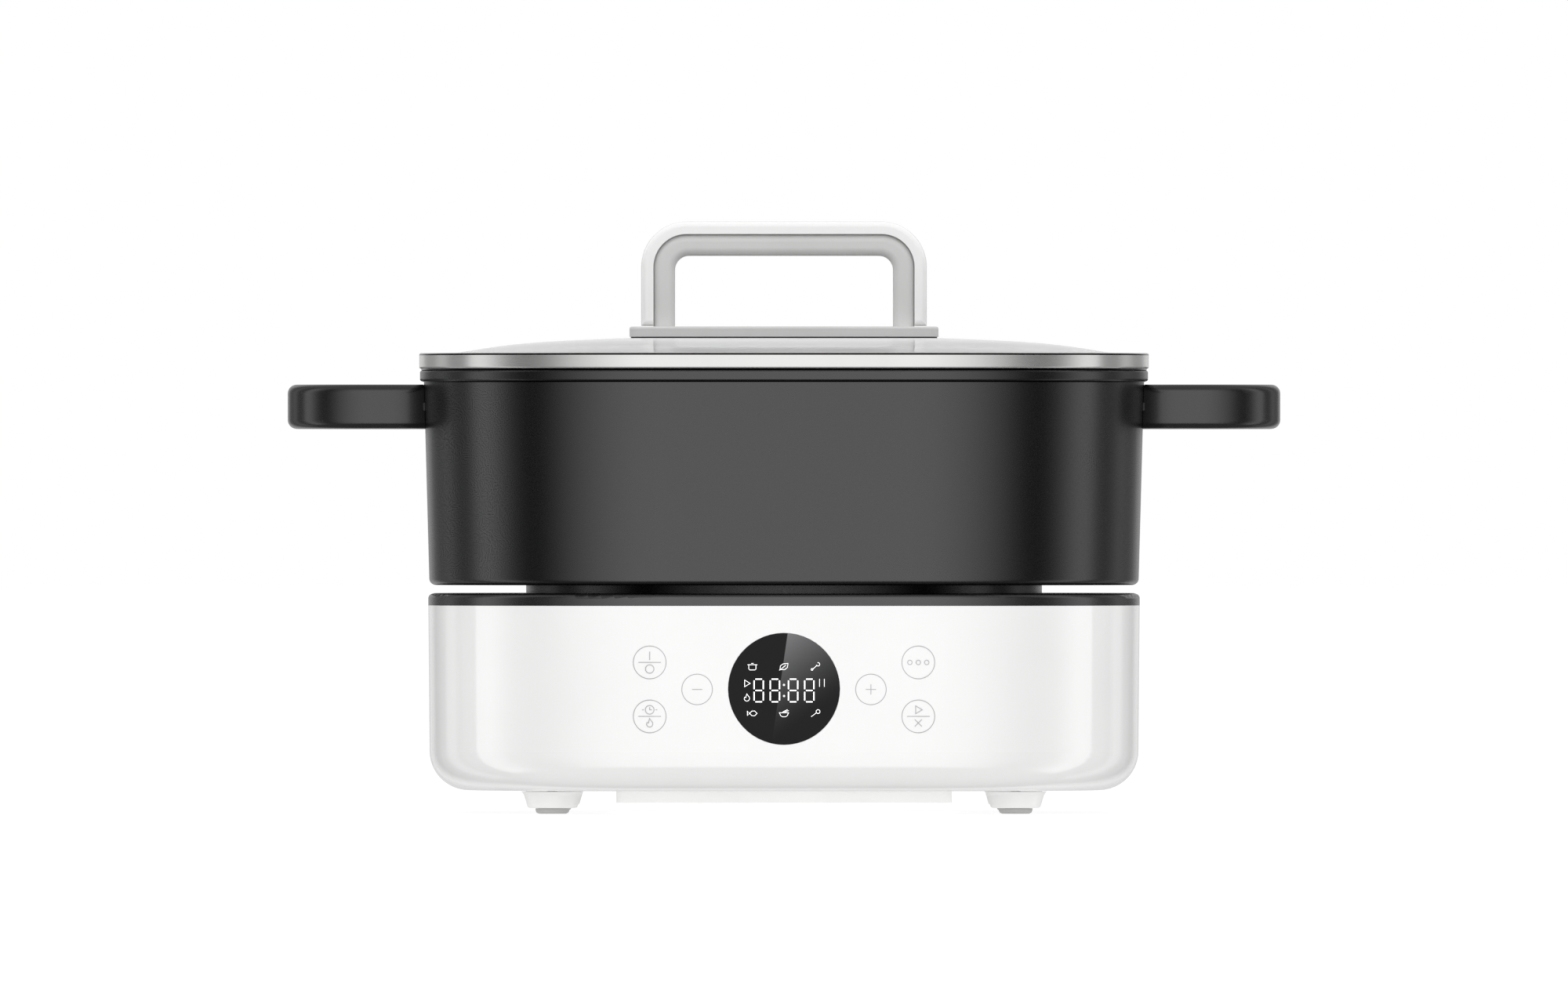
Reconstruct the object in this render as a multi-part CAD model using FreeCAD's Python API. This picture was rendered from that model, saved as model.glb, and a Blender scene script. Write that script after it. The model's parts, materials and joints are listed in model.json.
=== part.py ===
import FreeCAD, Part
import math
import os

# Electric hot pot: a rounded-square pot with a glass lid, standing on its own
# heating base. Millimetres, +Z up, front towards -Y, origin on the ground under
# the middle of the base.

V = FreeCAD.Vector
UP = V(0, 0, 1)
DOWN = V(0, 0, -1)
REAR = V(0, 1, 0)
tiny = 0.001              # edges nearer than this to a level lie on it

# --- Common clearances -------------------------------------------------------
seat_gap = 0.1            # flat faces that rest on each other
touch_gap = 0.05          # under boards, straps and screw heads
slip_gap = 0.3            # pieces that drop into each other
screw_gap = 0.1           # radial, round a screw's shank
past = 1.0                # how far a cutter runs past a face
screw_slot_share = 0.6    # of the head's radius
screw_slot_half_width = 0.4
screw_slot_depth = 0.6

# --- Plan shape: every outline shares the same four corner centres -----------
half_width = 139.2        # the lid's band, which is the widest
corner_centre = 49.0

# --- Feet --------------------------------------------------------------------
foot_inset = 47.6         # from the side of the base to a foot's axis
pad_height = 2.1
pad_radius = 6.45
pad_edge_radius = 1.3
pad_stem_radius = 3.9
pad_stem_height = 2.2
foot_height = 6.3
foot_flare_radius = 11.8
foot_flare_height = 1.4
foot_flare_round = 0.5
foot_top_radius = 10.8
foot_low_radius = 9.75
foot_edge_radius = 1.2
foot_screw_head_radius = 3.7
foot_screw_head_height = 1.6
foot_screw_radius = 1.9
foot_screw_length = 30.0

# --- Base shell --------------------------------------------------------------
shell_gap = 0.3           # shadow line over the feet
shell_inset_top = 3.45    # inside the lid's band
shell_inset_low = 4.05
shell_height = 70.5
shell_round = 15.0
shell_wall = 2.5
floor_hole_half = 50.0
floor_hole_corner = 6.0

# --- Bottom cover ------------------------------------------------------------
cover_half = 64.0
cover_corner = 4.0
cover_height = 4.5
cover_wall = 2.0
cover_slot_count = 9
cover_slot_pitch = 9.0
cover_slot_width = 3.0
cover_slot_half = 36.0
cover_slot_end_flat = 0.01
cover_boss_wall = 1.5
cover_screw_inset = 8.0
cover_screw_radius = 1.6
cover_screw_head_radius = 3.0
cover_screw_head_height = 1.4

# --- Deck --------------------------------------------------------------------
deck_height = 4.5
deck_round = 1.8
deck_skirt_depth = 6.0
deck_skirt_wall = 2.5
deck_boss_radius = 4.5
plate_slot = 1.0          # ring-shaped gap round the heating plate

# --- Heating plate and what hangs under it -----------------------------------
plate_radius = 100.0
plate_height = 10.0
plate_edge_round = 0.6
plate_flange_width = 8.0
plate_flange_height = 4.0
plate_seal_width = 5.0
ear_reach = 20.0          # from the plate's side to an ear's end
ear_half_width = 7.0
ear_screw_inset = 6.0
plate_screw_radius = 1.9
plate_screw_head_radius = 3.8
plate_screw_head_height = 2.4
plate_screw_bite = 2.8
element_ring_radius = 70.0
element_tube_radius = 4.2
element_sunk = 3.2        # depth of the groove in the plate
element_gap_angle = 15.0  # half of the horseshoe's open angle, at the rear
element_tail = 12.0
terminal_radius = 1.6
terminal_length = 9.0
terminal_tab_half_width = 3.1
terminal_tab_half_thickness = 0.4
terminal_tab_height = 7.5
insulator_radius = 3.4
insulator_height = 3.0
shield_drop = 13.7        # pan's depth under the plate
shield_wall = 0.8
shield_inset = 4.0        # from the plate flange's edge
shield_hole_gap = 1.5     # round the element's tails
fuse_distance = 45.0
fuse_radius = 2.2
fuse_length = 12.0
fuse_clip_wall = 0.8
fuse_clip_width = 7.0
fuse_clip_foot = 6.0
fuse_clip_screw_bite = 4.0

# --- Temperature sensor ------------------------------------------------------
sensor_radius = 15.2
sensor_gap = 0.8
sensor_height = 14.0
sensor_top = 1.5
sensor_wall = 1.2
sensor_edge_round = 0.8
holder_height = 6.0
holder_bore_radius = 2.0
holder_bore_depth = 4.0
spring_space = 18.0
spring_coil_radius = 9.0
spring_wire_radius = 0.8
spring_turns = 6
spring_steps = 8          # bends in one turn
spring_bend_share = 0.45  # of each straight run, taken by the bend at its end
guide_wall = 2.0
guide_floor = 2.0
guide_flange_width = 9.0
guide_flange_height = 2.0
guide_hole_radius = 5.0
guide_screw_radius = 1.5
guide_screw_head_radius = 2.8
guide_screw_head_height = 1.8
guide_screw_bite = 5.0

# --- Control panel in the front wall -----------------------------------------
display_height = 39.0     # display centre over the shell's underside
lens_radius = 21.3
lens_thickness = 1.2
lens_gap = 0.12
display_hole_radius = 18.5
board_thickness = 1.6
board_standoff = 8.0
control_board_half = 66.0
control_board_low = 14.0
control_board_high = 60.0
board_boss_radius = 3.0
board_boss_x = 38.0
board_boss_margin = 5.0
board_screw_radius = 1.3
board_screw_head_radius = 2.5
board_screw_head_height = 1.5
board_screw_bite = 5.0
chip_x = -26.0            # middle of the control chip
chip_half = (6.0, 5.0)
chip_height = 1.6
plug_depth = 5.0          # the ribbon's plug on the control board
plug_height = 6.0
plug_margin = 1.0         # beside the ribbon and over the board's edge
module_half_width = 15.5
module_half_height = 9.0
module_depth = 4.6
key_outer_x = 51.4
key_outer_z = 10.3        # above and below the display's centre
key_inner_x = 33.3
key_pad_radius = 5.0
wall_clear = 0.5          # from a touch pad to the shell's curved wall

# --- Power board on the floor, at the rear -----------------------------------
power_board_half_x = 45.0
power_board_half_y = 25.0
power_board_rear_gap = 24.0
power_standoff = 6.0
power_boss_radius = 3.2
power_boss_margin = 5.0
relay_size = (19.0, 15.5, 15.0)
relay_place = (-30.0, 8.0)
capacitor_size = (26.0, 10.0, 16.0)
capacitor_place = (27.0, 12.0)
component_round = 0.8     # upright edges of the relay and capacitor
terminal_block_size = (24.0, 9.0, 12.0)
terminal_block_place = (0.0, -2.0)

# --- Appliance inlet in the rear wall ----------------------------------------
inlet_height = 31.0       # centre over the shell's underside
inlet_flange_half_x = 25.0
inlet_flange_half_z = 12.0
inlet_flange_thickness = 2.2
inlet_flange_round = 0.6
inlet_body_half_x = 13.8
inlet_body_half_z = 10.0
inlet_body_depth = 20.0
inlet_mouth_half_x = 12.1
inlet_mouth_half_z = 8.3
inlet_mouth_depth = 17.0
inlet_corner = 2.0
inlet_screw_x = 20.0
inlet_screw_radius = 1.6
inlet_screw_head_radius = 2.9
inlet_screw_head_height = 1.6
inlet_screw_recess = 1.2
inlet_screw_length = 8.0
pin_half_width = 1.0
pin_half_height = 2.0
pin_spacing = 7.0
pin_drop = 2.0            # outer pins below the centre
pin_recess = 2.5
pin_tail = 7.0
pin_fit = 0.02            # round each pin in the socket

# --- Leads -------------------------------------------------------------------
lead_radius = 1.3
lead_bend = 5.0
earth_lead_inset = 9.2    # from the heat shield's side to the lead's end
element_lead_bend = 3.0
element_lead_step = 6.0   # sideways and down, on its way to the power board
element_lead_inset = 9.3  # from the power board's middle, towards the front
ribbon_half = 6.0
ribbon_thickness = 1.2
ribbon_x = 58.0
ribbon_run = 8.0          # level stretch at the plug, then as much again on the slope
ribbon_end_inset = 8.0    # from the power board's rear edge

# --- Pot ---------------------------------------------------------------------
pot_foot_radius = 98.7
pot_foot_height = 3.3
pot_inset_low = 3.9       # inside the lid's band
pot_inset_top = 1.8
pot_side_height = 77.7
pot_edge_round = 2.5
pot_wall = 2.5
pot_floor = 4.0
pot_inner_round = 8.0
pot_rim_inset = 0.3
pot_rim_height = 4.2
pot_rim_round = 0.9

# --- Side handles ------------------------------------------------------------
handle_drop = 1.2         # below the pot's rim flange
handle_thickness = 16.9
handle_reach = 50.7       # outwards from the pot's rim
handle_half_width = 58.0
handle_bar = 16.0
handle_leg = 18.0
handle_corner = 31.0
handle_inner_corner = 11.0
handle_round = 3.4
tab_reach = 14.0
tab_half_width = 6.0
tab_thickness = 3.0
tab_screw_inset = 5.0
tab_screw_radius = 1.9
tab_screw_head_radius = 3.5
tab_screw_head_height = 2.2
tab_screw_recess = 0.6

# --- Lid ---------------------------------------------------------------------
lid_shadow = 0.6          # dark line between the pot's rim and the band
band_height = 6.0
band_wall = 1.0
band_round = 0.8
lip_width = 3.7
lip_thickness = 0.8
lip_gap = 0.6             # between the lip and the glass's edge
web_thickness = 0.8
web_weld = 0.2            # how far the web runs into the band
skirt_gap = 1.0           # inside the pot's mouth
skirt_depth = 4.5
skirt_wall = 0.8
glass_edge_gap = 0.3
glass_thickness = 4.0     # of the dome; its edge fills the rim's slot
lid_sleeve_gap = 0.8      # round the handle screws, in the glass
# Inset from the glass edge and rise over it: flat plateau, curved border.
dome_profile = [(0.0, 0.0), (7.0, 0.6), (15.0, 1.8), (30.0, 4.1), (52.0, 6.0), (77.5, 7.1)]
vent_y = 45.0
vent_radius = 2.0
vent_wall = 0.6
vent_flange_radius = 4.6
vent_flange_height = 0.5

# --- Lid handle --------------------------------------------------------------
gasket_thickness = 0.6
gasket_inset = 0.5
flange_half_x = 59.1
flange_half_y = 18.0
flange_corner = 15.0
flange_height = 3.9
flange_round = 0.9
arch_height = 40.2        # over the flange's top
arch_half = 54.6
arch_round = 17.4
arch_half_depth = 13.0
arch_edge_round = 2.1
cover_top_wall = 4.8
cover_leg_wall = 4.6
grip_wall = 8.3
grip_inner_round = 5.4
grip_half_depth = 12.4
grip_soft_round = 3.0
lid_screw_inset = 4.2     # from the inner face of a leg
lid_screw_radius = 1.9
lid_screw_bite = 14.0
lid_screw_head_radius = 3.6
lid_screw_head_height = 2.4
washer_radius = 5.5
washer_thickness = 0.8

# --- Widths that follow ------------------------------------------------------
band_half = half_width
shell_half_top = half_width - shell_inset_top
shell_half_low = half_width - shell_inset_low
pot_half_low = half_width - pot_inset_low
pot_half_top = half_width - pot_inset_top
pot_rim_half = half_width - pot_rim_inset

# --- Heights that follow -----------------------------------------------------
foot_top = pad_height + foot_height
shell_low = foot_top + shell_gap
floor_top = shell_low + shell_wall
shell_top = shell_low + shell_height
deck_top = shell_top + deck_height
plate_low = deck_top - plate_height
plate_flange_top = plate_low + plate_flange_height
pot_low = deck_top + pot_foot_height
pot_side_top = pot_low + pot_side_height
pot_top = pot_side_top + pot_rim_height
pot_floor_top = pot_low + pot_floor
band_low = pot_top + lid_shadow
band_top = band_low + band_height
web_low = pot_top + seat_gap
glass_low = web_low + web_thickness + slip_gap
glass_edge_top = band_top - lip_thickness - lip_gap
glass_top = glass_edge_top + dome_profile[-1][1]
flange_low = glass_top + gasket_thickness + seat_gap
flange_top = flange_low + flange_height
arch_top = flange_top + arch_height
display_z = shell_low + display_height
inlet_z = shell_low + inlet_height
foot_xy = shell_half_top - foot_inset
ear_end = plate_radius + ear_reach
ear_screw_r = ear_end - ear_screw_inset
mouth_half = pot_half_top - pot_wall


# --- Small helpers -----------------------------------------------------------
def box(low, high):
    return Part.makeBox(high[0] - low[0], high[1] - low[1], high[2] - low[2], V(*low))


def rod(radius, start, length, direction=UP):
    return Part.makeCylinder(radius, length, V(*start), direction)


def ring(outer, inner, z_low, z_high):
    height = z_high - z_low
    return rod(outer, (0, 0, z_low), height).cut(rod(inner, (0, 0, z_low), height))


def outline(half_x, half_y, corner, z, x=0.0, y=0.0):
    """Closed rounded-rectangle wire at height z, centred on x, y."""
    arcs = []
    for quadrant, (sign_x, sign_y) in enumerate([(1, 1), (-1, 1), (-1, -1), (1, -1)]):
        centre = V(x + sign_x * (half_x - corner), y + sign_y * (half_y - corner), z)
        arcs.append(Part.makeCircle(corner, centre, UP, 90 * quadrant, 90 * quadrant + 90))
    edges = []
    for arc, following in zip(arcs, arcs[1:] + arcs[:1]):
        edges.append(arc)
        edges.append(Part.makeLine(arc.Vertexes[-1].Point, following.Vertexes[0].Point))
    return Part.Wire(edges)


def slab(half_x, half_y, corner, z_low, z_high, x=0.0, y=0.0):
    face = Part.Face(outline(half_x, half_y, corner, z_low, x, y))
    return face.extrude(V(0, 0, z_high - z_low))


def plan_wire(half, z):
    return outline(half, half, half - corner_centre, z)


def plan_block(half_low, half_high, z_low, z_high):
    """Rounded-square block whose sides may taper."""
    return Part.makeLoft([plan_wire(half_low, z_low), plan_wire(half_high, z_high)], True, True)


def plan_ring(outer, inner, z_low, z_high):
    return plan_block(outer, outer, z_low, z_high).cut(plan_block(inner, inner, z_low, z_high))


def round_level(shape, radius, z):
    """Fillet every edge that lies at height z."""
    edges = []
    for edge in shape.Edges:
        bounds = edge.BoundBox
        if abs(bounds.ZMin - z) < tiny and abs(bounds.ZMax - z) < tiny:
            edges.append(edge)
    return shape.makeFillet(radius, edges)


def soft_corner(radius, z, size):
    """Profile points, inwards to outwards, that ease a revolved piece's lower corner."""
    ease = size * 0.3
    return [(radius - size, z), (radius - ease, z + ease), (radius, z + size)]


def revolve(points):
    """Solid of revolution about Z from (radius, z) points."""
    wire = Part.makePolygon([V(r, 0, z) for r, z in points + points[:1]])
    return Part.Face(wire).revolve(V(0, 0, 0), UP, 360)


def moved(shape, x=0.0, y=0.0, z=0.0):
    copy = shape.copy()
    copy.translate(V(x, y, z))
    return copy


def mirrored_x(shape):
    return shape.mirror(V(0, 0, 0), V(1, 0, 0))


def four_corners(x, y):
    return [(x, y), (-x, y), (-x, -y), (x, -y)]


def screw(x, y, z_seat, shank_radius, shank, head_radius, head, direction=UP):
    """Screw whose head bears on z_seat and whose shank points along direction."""
    z_sign = direction.z
    shank_solid = rod(shank_radius, (x, y, z_seat - z_sign * head / 2), shank + head / 2, direction)
    head_solid = rod(head_radius, (x, y, z_seat), head, direction * -1)
    slot_half = head_radius * screw_slot_share
    face = z_seat - z_sign * head
    slot = box((x - slot_half, y - screw_slot_half_width, face - screw_slot_depth),
               (x + slot_half, y + screw_slot_half_width, face + screw_slot_depth))
    return head_solid.fuse(shank_solid).cut(slot).removeSplitter()


def lead(points, radius, bend):
    """Round wire through points, with a tangent arc at each inner point."""
    path = [V(*p) for p in points]
    edges = []
    start = path[0]
    for before, here, after in zip(path, path[1:], path[2:]):
        towards = (before - here).normalize()
        away = (after - here).normalize()
        opening = towards.getAngle(away)
        reach = bend / math.tan(opening / 2)
        first = here + towards * reach
        last = here + away * reach
        middle_line = (towards + away).normalize()
        middle = here + middle_line * (bend / math.sin(opening / 2) - bend)
        edges.append(Part.makeLine(start, first))
        edges.append(Part.Arc(first, middle, last).toShape())
        start = last
    edges.append(Part.makeLine(start, path[-1]))
    section = Part.Wire(Part.makeCircle(radius, path[0], path[1] - path[0]))
    return Part.Wire(edges).makePipeShell([section], True, False)


def inner_wall(z):
    """Distance from the axis to the inside of the shell's flat walls at height z."""
    share = (z - shell_low) / shell_height
    return shell_half_low + (shell_half_top - shell_half_low) * share - shell_wall


# --- Base shell --------------------------------------------------------------
def shell_block(inset):
    """The shell's outside, or a parallel block inset from it."""
    block = plan_block(shell_half_low - inset, shell_half_top - inset, shell_low + inset, shell_top)
    return round_level(block, shell_round - inset, shell_low + inset)


def board_boss_places():
    places = []
    for x in (-board_boss_x, board_boss_x):
        for level in (control_board_low + board_boss_margin, control_board_high - board_boss_margin):
            places.append((x, shell_low + level))
    return places


def power_board_centre_y():
    return inner_wall(inlet_z) - power_board_rear_gap - power_board_half_y


def power_boss_places():
    reach_x = power_board_half_x - power_boss_margin
    reach_y = power_board_half_y - power_boss_margin
    return [(x, power_board_centre_y() + y) for x, y in four_corners(reach_x, reach_y)]


def cover_screw_places():
    reach = cover_half - cover_screw_inset
    return four_corners(reach, reach)


board_front_y = -(inner_wall(display_z) - board_standoff)
power_board_low = floor_top + power_standoff
power_board_top = power_board_low + board_thickness


def base_shell():
    outside = shell_block(0.0)
    inside = shell_block(shell_wall)
    body = outside.cut(inside)
    for x, z in board_boss_places():
        boss = rod(board_boss_radius, (x, board_front_y, z), shell_half_top + board_front_y, REAR * -1)
        body = body.fuse(boss.common(outside))
    for x, y in power_boss_places():
        body = body.fuse(rod(power_boss_radius, (x, y, shell_low + shell_wall / 2),
                             power_board_low - shell_low - shell_wall / 2))
    cuts = []
    for x, z in board_boss_places():
        cuts.append(rod(board_screw_radius + screw_gap, (x, board_front_y, z), board_screw_bite, REAR * -1))
    for x, y in power_boss_places():
        cuts.append(rod(board_screw_radius + screw_gap, (x, y, power_board_low - board_screw_bite),
                        board_screw_bite))
    for x, y in four_corners(foot_xy, foot_xy):
        cuts.append(rod(foot_screw_radius + screw_gap, (x, y, shell_low - past), shell_wall + 2 * past))
    for x, y in cover_screw_places():
        cuts.append(rod(cover_screw_radius + screw_gap, (x, y, shell_low - past), shell_wall + 2 * past))
    cuts.append(slab(floor_hole_half, floor_hole_half, floor_hole_corner, shell_low - past, floor_top + past))
    cuts.append(rod(display_hole_radius, (0, 0, display_z), 2 * shell_half_top, REAR * -1))
    cuts.append(display_disc(lens_radius, lens_thickness))
    wall_start = inner_wall(inlet_z) - past
    wall_depth = shell_half_top + past - wall_start
    mouth = slab(inlet_body_half_x + slip_gap, inlet_body_half_z + slip_gap, inlet_corner, 0, wall_depth)
    cuts.append(stand_rear(mouth, wall_start))
    for x in (-inlet_screw_x, inlet_screw_x):
        cuts.append(rod(inlet_screw_radius + screw_gap, (x, wall_start, inlet_z), wall_depth, REAR))
    return body.cut(Part.makeCompound(cuts)).removeSplitter()


def display_disc(radius, depth):
    """Round slice of the shell's front surface, depth thick."""
    cylinder = rod(radius, (0, 0, display_z), 2 * shell_half_top, REAR * -1)
    return cylinder.common(shell_block(0.0).cut(shell_block(depth)))


def stand_rear(shape, y):
    """Turn a shape built along +Z to face the rear, its z = 0 at y, on the inlet's axis."""
    turned = shape.copy()
    turned.rotate(V(0, 0, 0), V(1, 0, 0), -90)
    turned.translate(V(0, y, inlet_z))
    return turned


# --- Feet and bottom cover ---------------------------------------------------
def feet():
    profile = [
        (foot_screw_radius + screw_gap, foot_top),
        (foot_flare_radius, foot_top),
        (foot_flare_radius - foot_flare_round, foot_top - foot_flare_height / 2),
        (foot_top_radius, foot_top - foot_flare_height),
        *reversed(soft_corner(foot_low_radius, pad_height, foot_edge_radius)),
        (pad_stem_radius + screw_gap, pad_height),
        (pad_stem_radius + screw_gap, foot_recess_top()),
        (foot_screw_radius + screw_gap, foot_recess_top()),
    ]
    one = revolve(profile)
    return [moved(one, x, y) for x, y in four_corners(foot_xy, foot_xy)]


def foot_recess_top():
    return pad_height + pad_stem_height + foot_screw_head_height + seat_gap


def foot_pads():
    dome = [
        (0.0, 0.0),
        *soft_corner(pad_radius, 0.0, pad_edge_radius),
        (pad_radius, pad_height - seat_gap),
        (pad_stem_radius, pad_height - seat_gap),
        (pad_stem_radius, pad_height + pad_stem_height),
        (0.0, pad_height + pad_stem_height),
    ]
    one = revolve(dome)
    return [moved(one, x, y) for x, y in four_corners(foot_xy, foot_xy)]


def foot_screws():
    return [screw(x, y, foot_recess_top(), foot_screw_radius, foot_screw_length,
                  foot_screw_head_radius, foot_screw_head_height)
            for x, y in four_corners(foot_xy, foot_xy)]


def bottom_cover():
    low = shell_low - shell_gap - cover_height
    top = shell_low - shell_gap
    body = slab(cover_half, cover_half, cover_corner, low, top)
    inside = slab(cover_half - cover_wall, cover_half - cover_wall, cover_corner - cover_wall,
                  low + cover_wall, top)
    body = body.cut(inside)
    for x, y in cover_screw_places():
        body = body.fuse(rod(cover_screw_head_radius + cover_boss_wall, (x, y, low), cover_height))
    cuts = []
    for index in range(cover_slot_count):
        x = (index - (cover_slot_count - 1) / 2) * cover_slot_pitch
        cuts.append(slab(cover_slot_width / 2, cover_slot_half, cover_slot_width / 2 - cover_slot_end_flat,
                         low - past, low + cover_wall + past, x))
    for x, y in cover_screw_places():
        cuts.append(rod(cover_screw_radius + screw_gap, (x, y, low), cover_height + past))
        cuts.append(rod(cover_screw_head_radius + slip_gap, (x, y, low - past),
                        past + cover_screw_head_height + slip_gap))
    return [body.cut(Part.makeCompound(cuts)).removeSplitter()]


def bottom_cover_screws():
    seat = shell_low - shell_gap - cover_height + cover_screw_head_height + slip_gap
    length = floor_top - seat
    return [screw(x, y, seat, cover_screw_radius, length, cover_screw_head_radius,
                  cover_screw_head_height) for x, y in cover_screw_places()]


# --- Deck and heating plate --------------------------------------------------
def ear_places():
    return [(0, ear_screw_r), (ear_screw_r, 0), (0, -ear_screw_r), (-ear_screw_r, 0)]


def spokes(reach, half_width, z_low, z_high):
    """Four bars from the axis, along X and Y."""
    along_x = box((-reach, -half_width, z_low), (reach, half_width, z_high))
    along_y = box((-half_width, -reach, z_low), (half_width, reach, z_high))
    return along_x.fuse(along_y)


def deck_ring():
    top = plan_block(shell_half_top, shell_half_top, shell_top, deck_top)
    body = round_level(top, deck_round, deck_top)
    skirt_half = shell_half_top - shell_wall - slip_gap
    body = body.fuse(plan_ring(skirt_half, skirt_half - deck_skirt_wall,
                               shell_top - deck_skirt_depth, shell_top + past))
    for x, y in four_corners(foot_xy, foot_xy):
        low = floor_top + seat_gap
        body = body.fuse(rod(deck_boss_radius, (x, y, low), shell_top - low + past))
    for x, y in ear_places():
        low = plate_flange_top + seat_gap
        body = body.fuse(rod(deck_boss_radius, (x, y, low), shell_top - low + past))
    cuts = [rod(plate_radius + plate_slot, (0, 0, floor_top), deck_top - floor_top + past)]
    foot_screw_end = foot_recess_top() + foot_screw_length
    for x, y in four_corners(foot_xy, foot_xy):
        cuts.append(rod(foot_screw_radius + screw_gap, (x, y, floor_top), foot_screw_end + past - floor_top))
    for x, y in ear_places():
        cuts.append(rod(plate_screw_radius + screw_gap, (x, y, plate_flange_top),
                        shell_top - plate_flange_top + plate_screw_bite + slip_gap))
    return [body.cut(Part.makeCompound(cuts)).removeSplitter()]


def plate_seal():
    inner = plate_radius + plate_slot
    return [ring(inner + plate_seal_width, inner, plate_flange_top + seat_gap, shell_top - seat_gap)]


def element_ends():
    """Where the horseshoe's two ends turn down, at the rear."""
    angle = math.radians(90 - element_gap_angle)
    x = element_ring_radius * math.cos(angle)
    y = element_ring_radius * math.sin(angle)
    return [(x, y), (-x, y)]


def horseshoe(tube_radius):
    z = plate_low + element_sunk - element_tube_radius
    torus = Part.makeTorus(element_ring_radius, tube_radius, V(0, 0, z), UP, -180, 180,
                           360 - 2 * element_gap_angle)
    torus.rotate(V(0, 0, 0), UP, 90 + element_gap_angle)
    for x, y in element_ends():
        torus = torus.fuse(Part.makeSphere(tube_radius, V(x, y, z)))
        torus = torus.fuse(rod(tube_radius, (x, y, z), element_tail, DOWN))
    return torus.removeSplitter()


def heating_plate():
    body = rod(plate_radius, (0, 0, plate_low), plate_height)
    body = round_level(body, plate_edge_round, deck_top)
    flange = rod(plate_radius + plate_flange_width, (0, 0, plate_low), plate_flange_height)
    body = body.fuse(flange).fuse(spokes(ear_end, ear_half_width, plate_low, plate_flange_top))
    cuts = [rod(sensor_radius + sensor_gap, (0, 0, plate_low - past), plate_height + 2 * past)]
    for x, y in ear_places():
        cuts.append(rod(plate_screw_radius + screw_gap, (x, y, plate_low - past),
                        plate_flange_height + 2 * past))
    for x, y in guide_screw_places():
        cuts.append(rod(guide_screw_radius + screw_gap, (x, y, plate_low), guide_screw_bite + slip_gap))
    cuts.append(rod(guide_screw_radius + screw_gap, (-fuse_distance - fuse_clip_foot, 0, plate_low),
                    fuse_clip_screw_bite + slip_gap))
    cuts.append(horseshoe(element_tube_radius + screw_gap))
    return [body.cut(Part.makeCompound(cuts)).removeSplitter()]


def heating_element():
    return [horseshoe(element_tube_radius)]


def element_tail_low():
    return plate_low + element_sunk - element_tube_radius - element_tail


def element_terminals():
    solids = []
    for x, y in element_ends():
        low = element_tail_low() - seat_gap
        bead = rod(insulator_radius, (x, y, low), insulator_height, DOWN)
        pin = rod(terminal_radius, (x, y, low), insulator_height + terminal_length, DOWN)
        tab_low = low - insulator_height - terminal_length
        tab = box((x - terminal_tab_half_width, y - terminal_tab_half_thickness, tab_low),
                  (x + terminal_tab_half_width, y + terminal_tab_half_thickness,
                   tab_low + terminal_tab_height))
        solids.append(bead.fuse(pin).fuse(tab).removeSplitter())
    return solids


def shield_radius():
    return plate_radius + plate_flange_width - shield_inset


def heat_shield():
    radius = shield_radius()
    top = plate_low - seat_gap
    low = plate_low - shield_drop
    wall = ring(radius, radius - shield_wall, low, top)
    floor = rod(radius, (0, 0, low), shield_wall)
    tabs = spokes(ear_end, ear_half_width, top - shield_wall, top)
    tabs = tabs.cut(rod(radius - shield_wall, (0, 0, low), shield_drop + past))
    body = wall.fuse(floor).fuse(tabs)
    floor_cut = shield_wall + 2 * past
    cuts = [rod(sensor_radius + sensor_gap + guide_wall + slip_gap, (0, 0, low - past), floor_cut)]
    for x, y in element_ends():
        cuts.append(rod(element_tube_radius + shield_hole_gap, (x, y, low - past), floor_cut))
    for x, y in ear_places():
        cuts.append(rod(plate_screw_radius + screw_gap, (x, y, low), shield_drop + past))
    return [body.cut(Part.makeCompound(cuts)).removeSplitter()]


def plate_screws():
    seat = plate_low - seat_gap - shield_wall - touch_gap
    length = shell_top + plate_screw_bite - seat
    return [screw(x, y, seat, plate_screw_radius, length, plate_screw_head_radius,
                  plate_screw_head_height) for x, y in ear_places()]


def thermal_fuse():
    z = plate_low - fuse_radius - seat_gap
    return [rod(fuse_radius, (-fuse_distance, -fuse_length / 2, z), fuse_length, REAR)]


def fuse_clip():
    """Strap over the fuse, with one foot screwed to the plate."""
    top = plate_low - touch_gap
    low = top - 2 * fuse_radius - 2 * seat_gap - fuse_clip_wall
    half = fuse_radius + seat_gap + fuse_clip_wall
    outside = box((-fuse_distance - half, -fuse_clip_width / 2, low),
                  (-fuse_distance + half, fuse_clip_width / 2, top))
    inside = box((-fuse_distance - half + fuse_clip_wall, -fuse_clip_width, low + fuse_clip_wall),
                 (-fuse_distance + half - fuse_clip_wall, fuse_clip_width, top))
    foot_end = -fuse_distance - half - 2 * fuse_clip_foot + fuse_clip_wall
    foot = box((foot_end, -fuse_clip_width / 2, top - fuse_clip_wall),
               (-fuse_distance - half + fuse_clip_wall, fuse_clip_width / 2, top))
    hole_low = top - fuse_clip_wall - past
    hole = rod(guide_screw_radius + screw_gap, (-fuse_distance - fuse_clip_foot, 0, hole_low),
               fuse_clip_wall + 2 * past)
    return [outside.cut(inside).fuse(foot).cut(hole).removeSplitter()]


# --- Temperature sensor ------------------------------------------------------
sensor_top_z = deck_top
holder_top = sensor_top_z - sensor_top - seat_gap
holder_low = holder_top - holder_height
spring_floor = holder_low - spring_space
guide_inner = sensor_radius + sensor_gap


def guide_screw_places():
    reach = guide_inner + guide_wall + guide_flange_width / 2
    return [(0, reach), (0, -reach)]


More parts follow.
